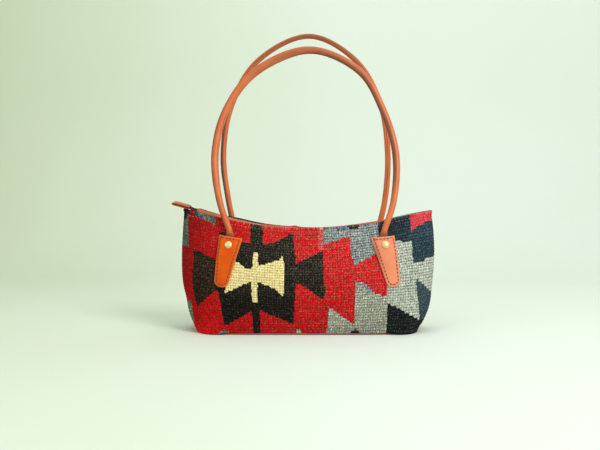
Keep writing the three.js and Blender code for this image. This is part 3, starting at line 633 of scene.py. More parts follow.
def yarn_colours(x, z, fields):
    """Colour of every stitch of yarn, flecked with the warp along the furrows."""
    kind = stitch_kinds(x, z, fields)
    main, fleck = (np.array([srgb(*yarn[k])[:3] for yarn in YARNS.values()])[kind] for k in (0, 1))
    strength, spread = (np.array([yarn[k] for yarn in YARNS.values()])[kind] for k in (2, 3))
    dark = np.clip(1 - main.mean(-1) / DARK_LEVEL, 0, 1)
    upper = smoothstep(z, 10, 110)
    amount = fleck_amount(x, strength, dark, upper)
    chance = by_stitch(rng.normal(0, 1, (len(x) // 2, x.shape[1])))
    tone = np.exp(chance * spread - spread**2 / 2 + cloth_tone_and_painted_light(x, z, kind == RED, dark, upper))
    return np.clip(lerp(main * tone[..., None], fleck, amount[..., None]), *TONE_LIMITS)


# Kilim panels

ROLL_RADIUS = KILIM_THICKNESS / 2

# How far the foot of a panel stands forward and down, at its middle and at its corners
FOOT_FORWARD = (0.8, 5.0)
FOOT_DROP = (0.8, 2.6)

# Waves of the top edges, front and back: height, middle along the bag, half-width
EDGE_WAVES = {
    1: [(2.3, -146, 19), (-1.3, -48, 26), (0.9, 2, 20), (-1.5, 84, 26), (0.9, 57, 6), (-1.4, 170, 8)],
    -1: [(2.2, -116, 34), (0.9, -91, 19), (-1.8, 20, 45), (-2.6, 85, 40), (1.6, -17, 5)],
}

# Swells of the right and left end along the bag: depth, middle above the floor, half-height
END_SWELLS = {1: [(2.4, 34, 20), (-2.2, 4, 6)], -1: [(1.5, 44, 14)]}

# Hollows and swells of the cloth: height, then length and start along the bag and up it
SWELLS = [(0.9, 37, 0.6, 29, 0.4), (0.5, 19, -1.1, 41, math.pi / 2)]


def section(v, shares, inset, drop, count=901):
    """Points across the wall at shares of its length, with the top of the outer face lowered by drop."""
    q = np.sin(np.linspace(-np.pi / 2, np.pi / 2, count))
    x = (half_width(v) - inset) * q
    y = -(half_depth(v) - inset) * plan_depth(q, v)
    z = lerp(SEAM_HEIGHT, top_edge(x) - drop, v)
    return along_path(np.stack([x, y, z], -1), shares)


def slump(x, z):
    """Soft hollows and swells of the cloth, none under the tabs."""
    swell = sum(h * np.sin(x / a + p) * np.sin(z / b + q) for h, a, p, b, q in SWELLS)
    under_tab = fade(np.abs(np.abs(x) - 102), 24, 38) * smoothstep(z, 38, 56)
    return swell * (1 - under_tab)


def side_swell(x, z):
    """How far the ends lean along the bag: a fuller right end, a flatter left one."""
    return sum(bells(z, waves) * smoothstep(hand * x, 110, 160) for hand, waves in END_SWELLS.items())


def edge_wave(x, side, corner_ear=2.2):
    """How far the top edge stands above its even line."""
    return corner_ear * smoothstep(-x, 150, 166) + bells(x, EDGE_WAVES[side])


def outer_face(even, shares, side, rib_height=0.34, bead_height=0.12, seam_depth=1.1):
    """Outside of a panel, from the even wall; its height is counted in ribs."""
    x, z = even[..., 0], even[..., 2]
    height = np.arange(len(even))[:, None] / RIB_ROWS
    rib = np.abs(np.sin(np.pi * height))
    bead = np.abs(np.sin(np.pi / BEAD_COLUMNS * np.arange(len(shares))))
    side_seam = fade(np.minimum(shares, 1 - shares), 0, 0.01)
    relief = rib_height * (rib - 0.8) + bead_height * rib * (bead - 0.5)
    relief = relief + slump(x, z) - seam_depth * side_seam
    relief = relief * smoothstep(height, 0, 2) * fade(height, RIBS - 1.2, RIBS)
    normals = unit(np.cross(np.gradient(even, axis=1), np.gradient(even, axis=0)))
    outer = even + normals * relief[..., None]
    corner, end = smoothstep(np.abs(x), 98, 124), smoothstep(np.abs(x), 132, 150)
    middle_forward, corner_forward = FOOT_FORWARD
    outer[..., 1] -= lerp(middle_forward, corner_forward * (1 - end), corner) * fade(height, 0, 8)
    outer[..., 2] -= lerp(*FOOT_DROP, corner) * fade(height, 0, 4)
    outer[..., 2] += edge_wave(x, side) * smoothstep(height, RIBS - 9, RIBS)
    return outer


def rolled_edge(shares, side, steps=5):
    """Rings over the top edge of a panel, from its outside to its inside."""
    rings = []
    for turn in np.pi * np.arange(1, steps + 1) / steps:
        ring = section(1.0, shares, ROLL_RADIUS * (1 - math.cos(turn)), ROLL_RADIUS)
        ring[:, 2] += ROLL_RADIUS * math.sin(turn) + edge_wave(ring[:, 0], side)
        rings.append(ring)
    return np.array(rings)


def inner_face(shares, rows=14):
    levels = 1 - np.arange(1, rows + 1) / rows
    return np.array([section(v, shares, KILIM_THICKNESS, ROLL_RADIUS) for v in levels])


def panel_faces(count, side):
    """Faces of a panel of so many rows, closed along its foot and its ends."""
    grid = numbered(count, COLUMNS + 1)
    faces = quads(np.concatenate([grid, grid[:1]]))
    faces += [grid[:, 0].tolist(), grid[::-1, -1].tolist()]
    return [face[::side] for face in faces]


def kilim_panel(name, side, fields, node):
    shares = np.linspace(0, 1, COLUMNS + 1)
    rows = RIBS * RIB_ROWS
    even = np.array([section(k / rows, shares, 0.0, ROLL_RADIUS) for k in range(rows + 1)])
    cells = 0.25 * (even[:-1, :-1] + even[1:, :-1] + even[:-1, 1:] + even[1:, 1:])
    points = np.concatenate([outer_face(even, shares, side), rolled_edge(shares, side), inner_face(shares)])
    points[..., 0] += side_swell(points[..., 0], points[..., 2])
    points[..., 1] -= FIT / 2
    faces = panel_faces(len(points), side)
    made = make_mesh(name, to_side(points.reshape(-1, 3), side), faces)
    paint(made, yarn_colours(cells[..., 0], cells[..., 2], fields), len(points))
    return dress(made, KILIM, "kilim_wool", node)


def paint(made, stitches, count):
    """Colour and weave coordinates of every corner; the top row's colours run on over the rolled edge."""
    rows = RIBS * RIB_ROWS
    cells = stitches[np.minimum(np.arange(count), rows - 1)].reshape(-1, 3)
    colours = np.ones((len(made.data.loops), 4), np.float32)
    colours[: 4 * len(cells), :3] = np.repeat(cells, 4, axis=0)
    colours[4 * len(cells) :, :3] = cells[0]
    layer = made.data.color_attributes.new("yarn", "FLOAT_COLOR", "CORNER")
    layer.data.foreach_set("color", colours.ravel())
    corners = np.empty(len(made.data.loops), np.int32)
    made.data.loops.foreach_get("vertex_index", corners)
    row, column = np.divmod(corners, COLUMNS + 1)
    weave = np.stack([column, np.minimum(row, rows) / RIB_ROWS + np.maximum(row - rows, 0)], -1)
    made.data.uv_layers.new(name="weave").data.foreach_set("uv", weave.astype(np.float32).ravel())


front_kilim = kilim_panel("front_kilim", 1, FIELDS, "front_panel")
back_kilim = kilim_panel("back_kilim", -1, BACK_FIELDS, "back_panel")


# Leather cut from a flat outline and laid on the bag

ARC_POINTS = 9
OUTLINE_STEP = 1.6
STITCH_FILL = 0.76

# Rings of points from a cut edge inwards: insets in half-thicknesses, then shares of the way to the spine
EDGE_INSETS = np.array([0.0, 0.05, 0.16, 0.34, 0.6, 0.95])
SPINE_SHARES = (0.12, 0.25, 0.4, 0.6, 0.8, 1.0)
EDGE_WEAR = (0.1, 0.45)


def rounded(corners, radii, step=OUTLINE_STEP):
    """Outline through corners that are rounded, with its straights cut into steps."""
    corners = np.asarray(corners, float)
    outline = []
    for k, (corner, radius) in enumerate(zip(corners, radii)):
        to_last = unit(corners[k - 1] - corner)
        to_next = unit(corners[(k + 1) % len(corners)] - corner)
        half = math.acos(float(to_last @ to_next)) / 2
        middle = corner + unit(to_last + to_next) * radius / math.sin(half)
        start, end = (corner + way * radius / math.tan(half) - middle for way in (to_last, to_next))
        square = np.array([-start[1], start[0]])
        sweep = math.atan2(square @ end, start @ end)
        for turn in sweep * np.linspace(0, 1, ARC_POINTS):
            outline.append(middle + start * math.cos(turn) + square * math.sin(turn))
    return resampled(outline, step, closed=True)


def inward(outline):
    along = unit(np.roll(outline, -1, axis=0) - np.roll(outline, 1, axis=0))
    normals = np.stack([-along[:, 1], along[:, 0]], -1)
    return normals if ((outline.mean(0) - outline) * normals).sum() > 0 else -normals


def cut_leather(name, outline, spine, thickness, place, kind, node):
    """Slab of leather with rounded edges; place(a, b, h) lays its flat points on the bag."""
    insets = EDGE_INSETS * thickness / 2
    normals = inward(outline)
    flats = [outline + normals * inset for inset in insets]
    start, end = np.asarray(spine, float)
    reach = np.clip(((flats[-1] - start) @ (end - start)) / ((end - start) @ (end - start)), 0, 1)
    on_spine = start + reach[:, None] * (end - start)
    flats += [lerp(flats[-1], on_spine, share) for share in SPINE_SHARES]
    bulge = np.ones(len(flats))
    bulge[: len(insets)] = np.sqrt(1 - (1 - insets / insets[-1]) ** 2)
    edge_colour_and_painted_shade_share = np.zeros(len(flats))
    edge_colour_and_painted_shade_share[: len(insets)] = fade(insets / thickness, *EDGE_WEAR)
    under = [(flat, 0.5 * thickness * (1 - b), w) for flat, b, w in zip(flats, bulge, edge_colour_and_painted_shade_share)]
    over = [(flat, 0.5 * thickness * (1 + b), w) for flat, b, w in zip(flats, bulge, edge_colour_and_painted_shade_share)]
    levels = under[::-1] + over[1:]
    rings = np.array([place(flat[:, 0], flat[:, 1], h) for flat, h, _ in levels])
    made = make_mesh(name, *tube(rings, closed=False))
    set_edge_colour_and_painted_shade(made, np.repeat([w for _, _, w in levels], len(outline)))
    return dress(face_outward(made), LEATHERS[kind], "tan_leather", node)


def outline_stitches(outline, seam, thickness, place, skip=None):
    """Stitches along an outline; a seam has its distance from the edge, its pitch and its thread's radius."""
    inset, pitch, radius = seam
    line = resampled(outline + inward(outline) * inset, pitch, closed=True)
    ahead = lerp(line, np.roll(line, -1, axis=0), STITCH_FILL)
    if skip is not None:
        keep = ~skip(line)
        line, ahead = line[keep], ahead[keep]
    starts = place(line[:, 0], line[:, 1], thickness)
    ends = place(ahead[:, 0], ahead[:, 1], thickness)
    ups = unit(place(line[:, 0], line[:, 1], thickness + 1.0) - starts)
    return stitch_parts(starts, ends, ups, radius)


# Tabs over the handle ends: a across a tab, b down it from the middle of its top edge

TAB_SPINE = [(0, 13.0), (0, TAB_LENGTH - 9.5)]
# The pale tabs, front right and back left, are the orange leather painted paler, as if washed by light from
# the right.
TAB_LEATHER = {"front_left": "orange", "front_right": "pale", "back_left": "pale", "back_right": "orange"}
TAB_SEAM = (3.0, 4.6, 0.62)


def tab_place(hand, a, b):
    tilt = TABS_TURN + hand * TAB_TILT
    x = hand * TAB_TOP_X + TABS_OFF_CENTRE + a * math.cos(tilt) + b * math.sin(tilt)
    z = TAB_TOP_HEIGHT + a * math.sin(tilt) - b * math.cos(tilt)
    return x, z


def above_panel(hand, a, b, height):
    x, z = tab_place(hand, a, b)
    return wall_point(x, z) + wall_normal(x, z) * np.asarray(height)[..., None]


def tab_rise(a, b, lip=0.8):
    """How far the tab lifts over the handle end, most at its top edge."""
    seat = TAB_SEAT * fade(np.abs(a), 9.0, 14.5) * fade(b, 23.5, 50)
    return seat + lip * fade(b, 0.5, 6) * fade(np.abs(a), 4.5, 11)


def tab_outline(hand, top_rounding=0.7, end_rounding=8.2):
    """Tapered to a round end, with its top cut askew."""
    top, end, skew = TAB_TOP_WIDTH / 2, TAB_END_WIDTH / 2, hand * TAB_TOP_SKEW + TABS_TOP_TURN
    corners = [(-top, -skew), (top, skew), (end, TAB_LENGTH), (-end, TAB_LENGTH)]
    return rounded(corners, [top_rounding] * 2 + [end_rounding] * 2)


def tab_lay(hand, side, lip_draw=0.33):
    def place(a, b, h):
        rise = tab_rise(a, b)
        level = b + lip_draw * rise * fade(b, 2, 10)
        return to_side(above_panel(hand, a, level, FIT + rise + h), side)

    return place


# Rivet caps

RIVET_SEAT = FIT + TAB_SEAT + TAB_THICKNESS + FIT


def rivet_dome(name, hand, side, node, foot=4.3, rim=4.62, start=0.32, steps=9, sides=40):
    """Cap whose dome starts above a turned lip, with radii at its foot and at the rim of the dome."""
    profile = [(0.0, 0.0), (foot, 0.0), (rim, 0.1), (RIVET_RADIUS, 0.42), (rim, 0.78)]
    for turn in np.linspace(start, np.pi / 2, steps):
        out = turn - start * (1 - turn / (np.pi / 2))
        profile.append((rim * math.cos(out), RIVET_HEIGHT * math.sin(turn)))
    at = np.array(0.0), np.array(RIVET_BELOW_TOP)
    up = wall_normal(*tab_place(hand, *at))
    first = unit(np.cross(up, [0, 0, 1.0]))
    ring = circle(sides, first, np.cross(up, first))
    rings = above_panel(hand, *at, RIVET_SEAT) + np.array([radius * ring + h * up for radius, h in profile])
    made = make_mesh(name, *tube(to_side(rings, side), closed=False))
    return dress(face_outward(made), BRASS, "brass", node)


for side_name, side in SIDES:
    stitches = []
    for hand_name, hand in HANDS:
        corner = f"{side_name}_{hand_name}"
        place = tab_lay(hand, side)
        outline = tab_outline(hand)
        cut_leather(f"{corner}_tab_leather", outline, TAB_SPINE, TAB_THICKNESS, place,
                    TAB_LEATHER[corner], f"{corner}_tab")
        rivet_dome(f"{corner}_rivet_dome", hand, side, f"{corner}_rivet_cap")
        stitches += outline_stitches(outline, TAB_SEAM, TAB_THICKNESS, place)
    sew(f"{side_name}_tab_stitches", stitches, THREAD, "tan_leather")


# Leather base, flat on the floor at its ends, tucked under the corners and bowed up between them

BASE_HALF_LENGTH = MOUTH_HALF_WIDTH - SIDE_TAPER - BASE_CORNER_CUT - 14.0
BASE_SPINE = [(-88, 0), (88, 0)]
BASE_SEAM = (3.5, 4.0, 0.3)
BASE_SEAM_DEPTH = 2.2


def base_outline(proud=1.0, tucked=4.5, crowding=0.7, count=720, step=3.0):
    turns = full_turn(count)
    q = np.sign(np.cos(turns)) * np.abs(np.cos(turns)) ** crowding
    x = BASE_HALF_LENGTH * q
    half = BASE_HALF_DEPTH + proud - tucked * smoothstep(np.abs(x), 98, 118)
    y = np.sign(np.sin(turns)) * half * plan_depth(q, 0.0)
    return resampled(np.stack([x, y], -1), step, closed=True)


def base_lay(a, b, h, bow=0.9):
    rise = bow * fade(np.abs(a), 88, 120)
    return np.stack([a, b, rise + h * (1 - rise / BASE_THICKNESS)], -1)


def base_under(a, b, h):
    return base_lay(a, b, BASE_THICKNESS - h)


BASE_OUTLINE = base_outline()
cut_leather("base_leather", BASE_OUTLINE, BASE_SPINE, BASE_THICKNESS, base_lay, "base", "base_panel")
base_thread = outline_stitches(BASE_OUTLINE, BASE_SEAM, BASE_SEAM_DEPTH, base_under)
sew("base_stitches", base_thread, THREAD, "tan_leather")


# Zip on its arc: s along it from its lowest point, y across, n up from the tape

TAIL_RISE = float(top_edge(TAIL_START_X)) + TAIL_ABOVE_EDGE - ZIP_LOW_HEIGHT
TAIL_RUN = ZIP_LOW_X - TAIL_START_X
ZIP_RADIUS = (TAIL_RUN**2 + TAIL_RISE**2) / (2 * TAIL_RISE)


def zip_distance(x):
    return ZIP_RADIUS * np.arcsin((x - ZIP_LOW_X) / ZIP_RADIUS)


TAIL_START = float(zip_distance(TAIL_START_X))
TAIL_END = TAIL_START - TAIL_LENGTH


def zip_point(s, y, n):
    on_arc = np.maximum(s, TAIL_START)
    turn = on_arc / ZIP_RADIUS
    beyond = s - on_arc
    tail = turn + TAIL_BEND
    x = ZIP_LOW_X + (ZIP_RADIUS - n) * np.sin(turn) + beyond * np.cos(tail)
    z = ZIP_LOW_HEIGHT + ZIP_RADIUS - (ZIP_RADIUS - n) * np.cos(turn) + beyond * np.sin(tail)
    return np.stack(np.broadcast_arrays(x, y, z), -1)


def roll_tail(points):
    """Rolls what lies on the tail towards the front, about the middle of the tape."""
    start, end = (zip_point(np.array(s), 0.0, 0.0) for s in (TAIL_START, TAIL_END))
    along = unit(start - end)
    arm = np.asarray(points) - start
    roll = (TAIL_ROLL * smoothstep(-(arm @ along), 0, TAIL_TWIST))[..., None]
    ahead = (arm @ along)[..., None] * along
    return start + arm * np.cos(roll) + np.cross(along, arm) * np.sin(roll) + ahead * (1 - np.cos(roll))


def zip_height(x):
    return zip_point(zip_distance(x), 0.0, 0.0)[..., 2]


# Facings


def facing_edge(x):
    height = top_edge(x) - FACING_DROP
    return wall_depth(x, height + FACING_THICKNESS, KILIM_THICKNESS) - FIT, height


def facing_underside(x, y):
    edge_y, height = facing_edge(x)
    t = (y - FACING_INNER_Y) / (edge_y - FACING_INNER_Y)
    return lerp(zip_height(x) + FIT, height, t**2)


def facing_point(x, share, h):
    """Point of the front facing: share from its zip edge to the woven edge, h up from its underside."""
    y = lerp(FACING_INNER_Y, facing_edge(x)[0], share)
    return np.stack(np.broadcast_arrays(x, -y, facing_underside(x, y) + h), -1)


def facing(name, side, node, stations=150):
    """Strip of leather with rounded edges, turned up along the woven edge."""
    shares = np.array([0, 0.02, 0.06, *np.linspace(0.14, 0.86, 9), 0.94, 0.98, 1])
    full = np.array([0, 0.62, 0.94, *np.ones(9), 0.94, 0.62, 0])
    ends = (0.15, 0.3, 0.6, 0.85, 1.0)
    shares = np.concatenate([shares, shares[-2:0:-1]])
    height = np.concatenate([full, -full[-2:0:-1]])
    station = np.arange(stations)[:, None]
    swell = np.interp(np.minimum(station, station[::-1]), np.arange(len(ends)), ends)
    x = np.linspace(TAIL_START_X, FACING_RIGHT_X, stations)[:, None]
    points, faces = tube(facing_point(x, shares, FACING_THICKNESS * (0.5 + 0.5 * height * swell)))
    made = make_mesh(name, to_side(points, side), faces)
    set_edge_colour_and_painted_shade(made, np.tile(1 - height**2, stations))
    return dress(face_outward(made), LEATHERS["facing"], "tan_leather", node)


def facing_stitches(side, left=3.0, right=4.0, pitch=3.2, length=2.2, radius=0.36):
    """Two rows of thread, by the zip and by the woven edge."""
    parts = []
    x = np.arange(TAIL_START_X + left, FACING_RIGHT_X - right, pitch)
    for share in (0.13, 0.84):
        starts, ends = (facing_point(at, share, FACING_THICKNESS) for at in (x, x + length))
        parts += stitch_parts(to_side(starts, side), to_side(ends, side), (0, 0, 1), radius)
    return parts


# Tapes and coil


def tape(name, side, node, rows=7, tail_stations=17, stations=120):
    """Woven tape, drooping under the facing and flat on the tail."""
    end = float(zip_distance(FACING_RIGHT_X + TAPE_BEYOND_FACING))
    s = np.concatenate([np.linspace(TAIL_END, TAIL_START, tail_stations, endpoint=False),
                        np.linspace(TAIL_START, end, stations)])[:, None]
    x = np.clip(zip_point(s, 0.0, 0.0)[..., 0], TAIL_START_X, FACING_RIGHT_X)
    flare = np.clip((TAIL_START - s) / TAIL_FLARE, 0, 1)
    room = wall_depth(x, facing_edge(x)[1], LINING_INSET + LINING_THICKNESS) - FIT
    half = lerp(np.minimum(TAPE_HALF_WIDTH, room), TAPE_HALF_WIDTH, flare)
    y = lerp(SLIT_HALF_WIDTH, half, np.linspace(0, 1, rows))
    under = zip_height(x) - facing_underside(x, y) + 2 * FIT
    droop = np.where(y < FACING_INNER_Y, 0, np.maximum(0, under)) * (1 - flare)
    top, low = (zip_point(s, -y, n) - droop[..., None] * [0, 0, 1] for n in (0.0, -TAPE_THICKNESS))
    points, faces = tube(np.concatenate([top, low[:, ::-1]], 1))
    made = face_outward(make_mesh(name, roll_tail(to_side(points, side)), faces))
    return dress(made, TAPE, "zip_tape", node)


def coil(name, side, node, pitch=1.3, start=(-4.1, 0.85), end=(-0.95, 1.15), slant=0.25, radius=0.48):
    """Row of nylon loops; each starts on the tape and ends at the slit, at places across and up."""
    s = np.arange(float(zip_distance(COIL_LEFT_X)), float(zip_distance(COIL_RIGHT_X)), pitch)
    starts = to_side(zip_point(s, *start), side)
    ends = to_side(zip_point(s + slant, *end), side)
    loops = stitch_parts(starts, ends, (0, 0, 1), radius, sink=0.2, bow=0.3)
    return sew(name, loops, NYLON, "zip_coil", node)


for side_name, side in SIDES:
    facing(f"{side_name}_facing_leather", side, f"{side_name}_facing")
    sew(f"{side_name}_facing_stitches", facing_stitches(side), THREAD, "tan_leather")
    tape(f"{side_name}_tape_weave", side, f"{side_name}_zip_tape")
    coil(f"{side_name}_coil_loops", side, f"{side_name}_zip_coil")


# Leather folded round the tail of the zip: a runs over the fold and back underneath, b across

END_TAB_LENGTH = 23.8
END_TAB_HALF_WIDTH = 11.5
END_TAB_LEATHER = 1.0
END_TAB_BEND = 0.7 + END_TAB_LEATHER / 2
END_TAB_FOLD = TAIL_END - 3.5 + END_TAB_BEND + END_TAB_LEATHER / 2
END_TAB_STRAIGHT = END_TAB_LENGTH - END_TAB_BEND - END_TAB_LEATHER / 2
END_TAB_RUN = 2 * END_TAB_STRAIGHT + np.pi * END_TAB_BEND
END_TAB_ROUNDING = 2.5
END_TAB_STEP = 0.8
END_TAB_SPINE = [(9, 0), (END_TAB_RUN - 9, 0)]
END_SEAM = (2.4, 2.8, 0.34)
END_SEAM_STOP = END_TAB_RUN / 2 - 6


def end_tab_lay(a, b, h):
    out = END_TAB_BEND + h - END_TAB_LEATHER / 2
    turn = np.clip((a - END_TAB_STRAIGHT) / END_TAB_BEND, 0, np.pi)
    past = np.maximum(a - END_TAB_STRAIGHT - np.pi * END_TAB_BEND, 0)
    before = np.maximum(END_TAB_STRAIGHT - a, 0)
    s = END_TAB_FOLD + before + past - out * np.sin(turn)
    n = -TAPE_THICKNESS / 2 + out * np.cos(turn)
    return roll_tail(zip_point(s, b, n))


def under_fold(line):
    return line[:, 0] > END_SEAM_STOP


END_TAB_CORNERS = np.array([(0, -1), (1, -1), (1, 1), (0, 1)]) * (END_TAB_RUN, END_TAB_HALF_WIDTH)
END_TAB_OUTLINE = rounded(END_TAB_CORNERS, [END_TAB_ROUNDING] * 4, END_TAB_STEP)
cut_leather("zip_end_leather", END_TAB_OUTLINE, END_TAB_SPINE, END_TAB_LEATHER, end_tab_lay,
            "facing", "zip_end_tab")
end_thread = outline_stitches(END_TAB_OUTLINE, END_SEAM, END_TAB_LEATHER, end_tab_lay, under_fold)
sew("zip_end_stitches", end_thread, THREAD, "tan_leather")


# Rolled handles

HANDLE_FOOT_RADIUS = 4.0
HANDLE_FOOT_OUT = 2.3
HANDLE_ROOT = -HANDLE_FOOT_RADIUS - FIT
HANDLE_FOOT = above_panel(1, HANDLE_FOOT_OUT, np.array(HANDLE_ROOT), HANDLE_FOOT_RADIUS + FIT)
HANDLE_WIDEST_HEIGHT = 105.0
HANDLE_SIDES = 48
HANDLE_STEP = 2.6
SPLINE_STEPS = 40

# Each handle: its arch; its seam's turn from the inside of the arch, band and darkness (dark fin edge and
# painted shade), right and left;
# the seam's fin and where it changes over; how much slimmer the crown is; the painted shade on the rim of the
# left leg
HANDLES = {
    "front": {
        "rise": 252.4, "spread": 21.35, "lean": math.radians(-13), "radius": 4.8, "knee": 0.71, "sway": 0.0,
        "shoulder": (0.88, -4.4), "crown": (0.59, -0.2), "seam": (0.75, -0.75), "band": (0.8, 0.6),
        "dark": (0.75, 0.0), "fin": 0.8, "turns": (0.42, 0.68), "slim": 0.0, "rim": (0.6, 1.15),
    },
    "back": {
        "rise": 270.9, "spread": 16.1, "lean": math.radians(-3), "radius": 4.1, "knee": 0.63, "sway": 0.75,
        "shoulder": (0.912, -2.5), "crown": (0.6, -1.4), "seam": (1.5, 2.25), "band": (0.16, 0.55),
        "dark": (0.8, 1.0), "fin": 0.2, "turns": (0.66, 0.85), "slim": 0.14, "rim": (0.9, 1.5),
    },
}

# Seam: where it opens, from the nearer end; its fin and groove round the handle; the turn to its thread
SEAM_OPENS = (45, 110)
FIN_HALF_TURN = 0.45
GROOVE = (0.35, 0.0, 0.09)
SEAM_TURN = 0.5


def spline(points):
    """Smooth curve through points, paced by the square root of their distances."""
    points = np.asarray(points, float)
    padded = np.concatenate([[2 * points[0] - points[1]], points, [2 * points[-1] - points[-2]]])
    t = np.linspace(0, 1, SPLINE_STEPS, endpoint=False)[:, None]
    made = []
    for p0, p1, p2, p3 in zip(padded, padded[1:], padded[2:], padded[3:]):
        d0, d1, d2 = (np.linalg.norm(b - a) ** 0.5 for a, b in ((p0, p1), (p1, p2), (p2, p3)))
        leave = d1 * ((p1 - p0) / d0 - (p2 - p0) / (d0 + d1) + (p2 - p1) / d1)
        arrive = d1 * ((p2 - p1) / d1 - (p3 - p1) / (d1 + d2) + (p3 - p2) / d2)
        cubic = (2 * p1 - 2 * p2 + leave + arrive) * t**3 + (3 * p2 - 3 * p1 - 2 * leave - arrive) * t**2
        made.append(p1 + leave * t + cubic)
    return np.concatenate(made + [points[-1:]])


def handle_arch(shape, side, foot_sway=-1.35, knee_sway=-1.8, widest_sway=-3.3, top_sway=2.0):
    """Middle line of a handle above its tabs, right to left, and its radius; sways are off its centre."""
    span, rise, sway, lean = TAB_TOP_X + shape["spread"], shape["rise"], shape["sway"], shape["lean"]
    foot = HANDLE_FOOT[0] - foot_sway
    bends = [(foot, 0, foot_sway),
             (lerp(foot, span, shape["knee"]), 0.4 * HANDLE_WIDEST_HEIGHT, sway + knee_sway),
             (span, HANDLE_WIDEST_HEIGHT, sway + widest_sway)]
    for (share, off), height in ((shape["shoulder"], 0.41), (shape["crown"], 0.79)):
        bends.append((share * span, lerp(HANDLE_WIDEST_HEIGHT, rise, height), sway + off))
    right = [(off + x, 0, h) for x, h, off in bends]
    left = [(off - x, 0, h) for x, h, off in bends[::-1]]
    curve = resampled(spline(right + [(sway + top_sway, 0, rise)] + left), HANDLE_STEP)
    x, h = curve[:, 0], curve[:, 2]
    y = side * HANDLE_FOOT[1] - h * math.sin(lean)
    line = np.stack([x, y, HANDLE_FOOT[2] + h * math.cos(lean)], -1)
    return line, lerp(HANDLE_FOOT_RADIUS, shape["radius"], smoothstep(h, 0, HANDLE_WIDEST_HEIGHT))


def handle_end(hand, side, top=-3.5, stations=15):
    """Middle line, outward direction and roundness of the end under a tab, from its tip up."""
    b = np.linspace(HANDLE_END_LENGTH, top, stations)
    round_share = fade(b, -7.0, 0.5)
    half = lerp(HANDLE_END_HALF_THICKNESS, HANDLE_FOOT_RADIUS, round_share)
    a = hand * HANDLE_FOOT_OUT * fade(b, HANDLE_ROOT, 7.0)
    out = wall_normal(*tab_place(hand, a, b))
    return to_side(above_panel(hand, a, b, FIT + half), side), to_side(out, side), round_share


def handle_line(side, shape):
    """Middle line of a whole handle, its direction out of the bag, radius and roundness, right to left."""
    arch, arch_radius = handle_arch(shape, side)
    right, right_out, right_round = handle_end(1, side)
    left, left_out, left_round = handle_end(-1, side)
    toward = np.tile([0.0, -math.cos(shape["lean"]), -math.sin(shape["lean"])], (len(arch), 1)) * side
    foot_radius = np.full(len(right), HANDLE_FOOT_RADIUS)
    line = np.concatenate([right, arch, left[::-1]])
    out = np.concatenate([right_out, toward, left_out[::-1]])
    for _ in range(3):
        for values in (line, out):
            values[1:-1] = 0.25 * values[:-2] + 0.5 * values[1:-1] + 0.25 * values[2:]
    radius = np.concatenate([foot_radius, arch_radius, foot_radius])
    round_share = np.concatenate([right_round, np.ones(len(arch)), left_round[::-1]])
    return line, out, radius[:, None], round_share[:, None]


def handle_edge_colour_and_painted_shade(shape, share, near_end, gap, turned):
    """How far the leather takes its dark edge colour: by the seam the fin's own dark edge with painted shade
    on its flank; darker over the crown; painted shade at the left leg's rim and at the feet where they go
    under the tabs.
    """
    band, dark = (lerp(*shape[key], turned) for key in ("band", "dark"))
    rim_dark, rim_reach = shape["rim"]
    from_rim = np.abs(full_turn(HANDLE_SIDES) - np.pi) / rim_reach
    by_seam = dark * smoothstep(near_end, *SEAM_OPENS) / (1 + (gap / band) ** 8)
    by_rim = rim_dark * smoothstep(share, 0.62, 0.75) / (1 + from_rim**6)
    crown, foot = 0.42 * smoothstep(near_end, 215, 320), 0.8 * fade(near_end, 21, 31)
    return np.maximum(np.maximum(by_seam, by_rim), np.maximum(crown, foot))


def handle_stitches(line, inner, shown, radius, turn, near_end, start=100, pitch=3.2, fill=0.55):
    """Thread along one side of the seam, away from the ends."""
    out = np.cos(turn) * inner + np.sin(turn) * shown
    keep = near_end[:, 0] > start
    path = resampled(np.concatenate([line + radius * out, out], 1)[keep], pitch)
    starts, ups = path[:, :3], unit(path[:, 3:])
    ends = lerp(starts[:-1], starts[1:], fill)
    return stitch_parts(starts[:-1], ends, ups[:-1], radius=0.42)


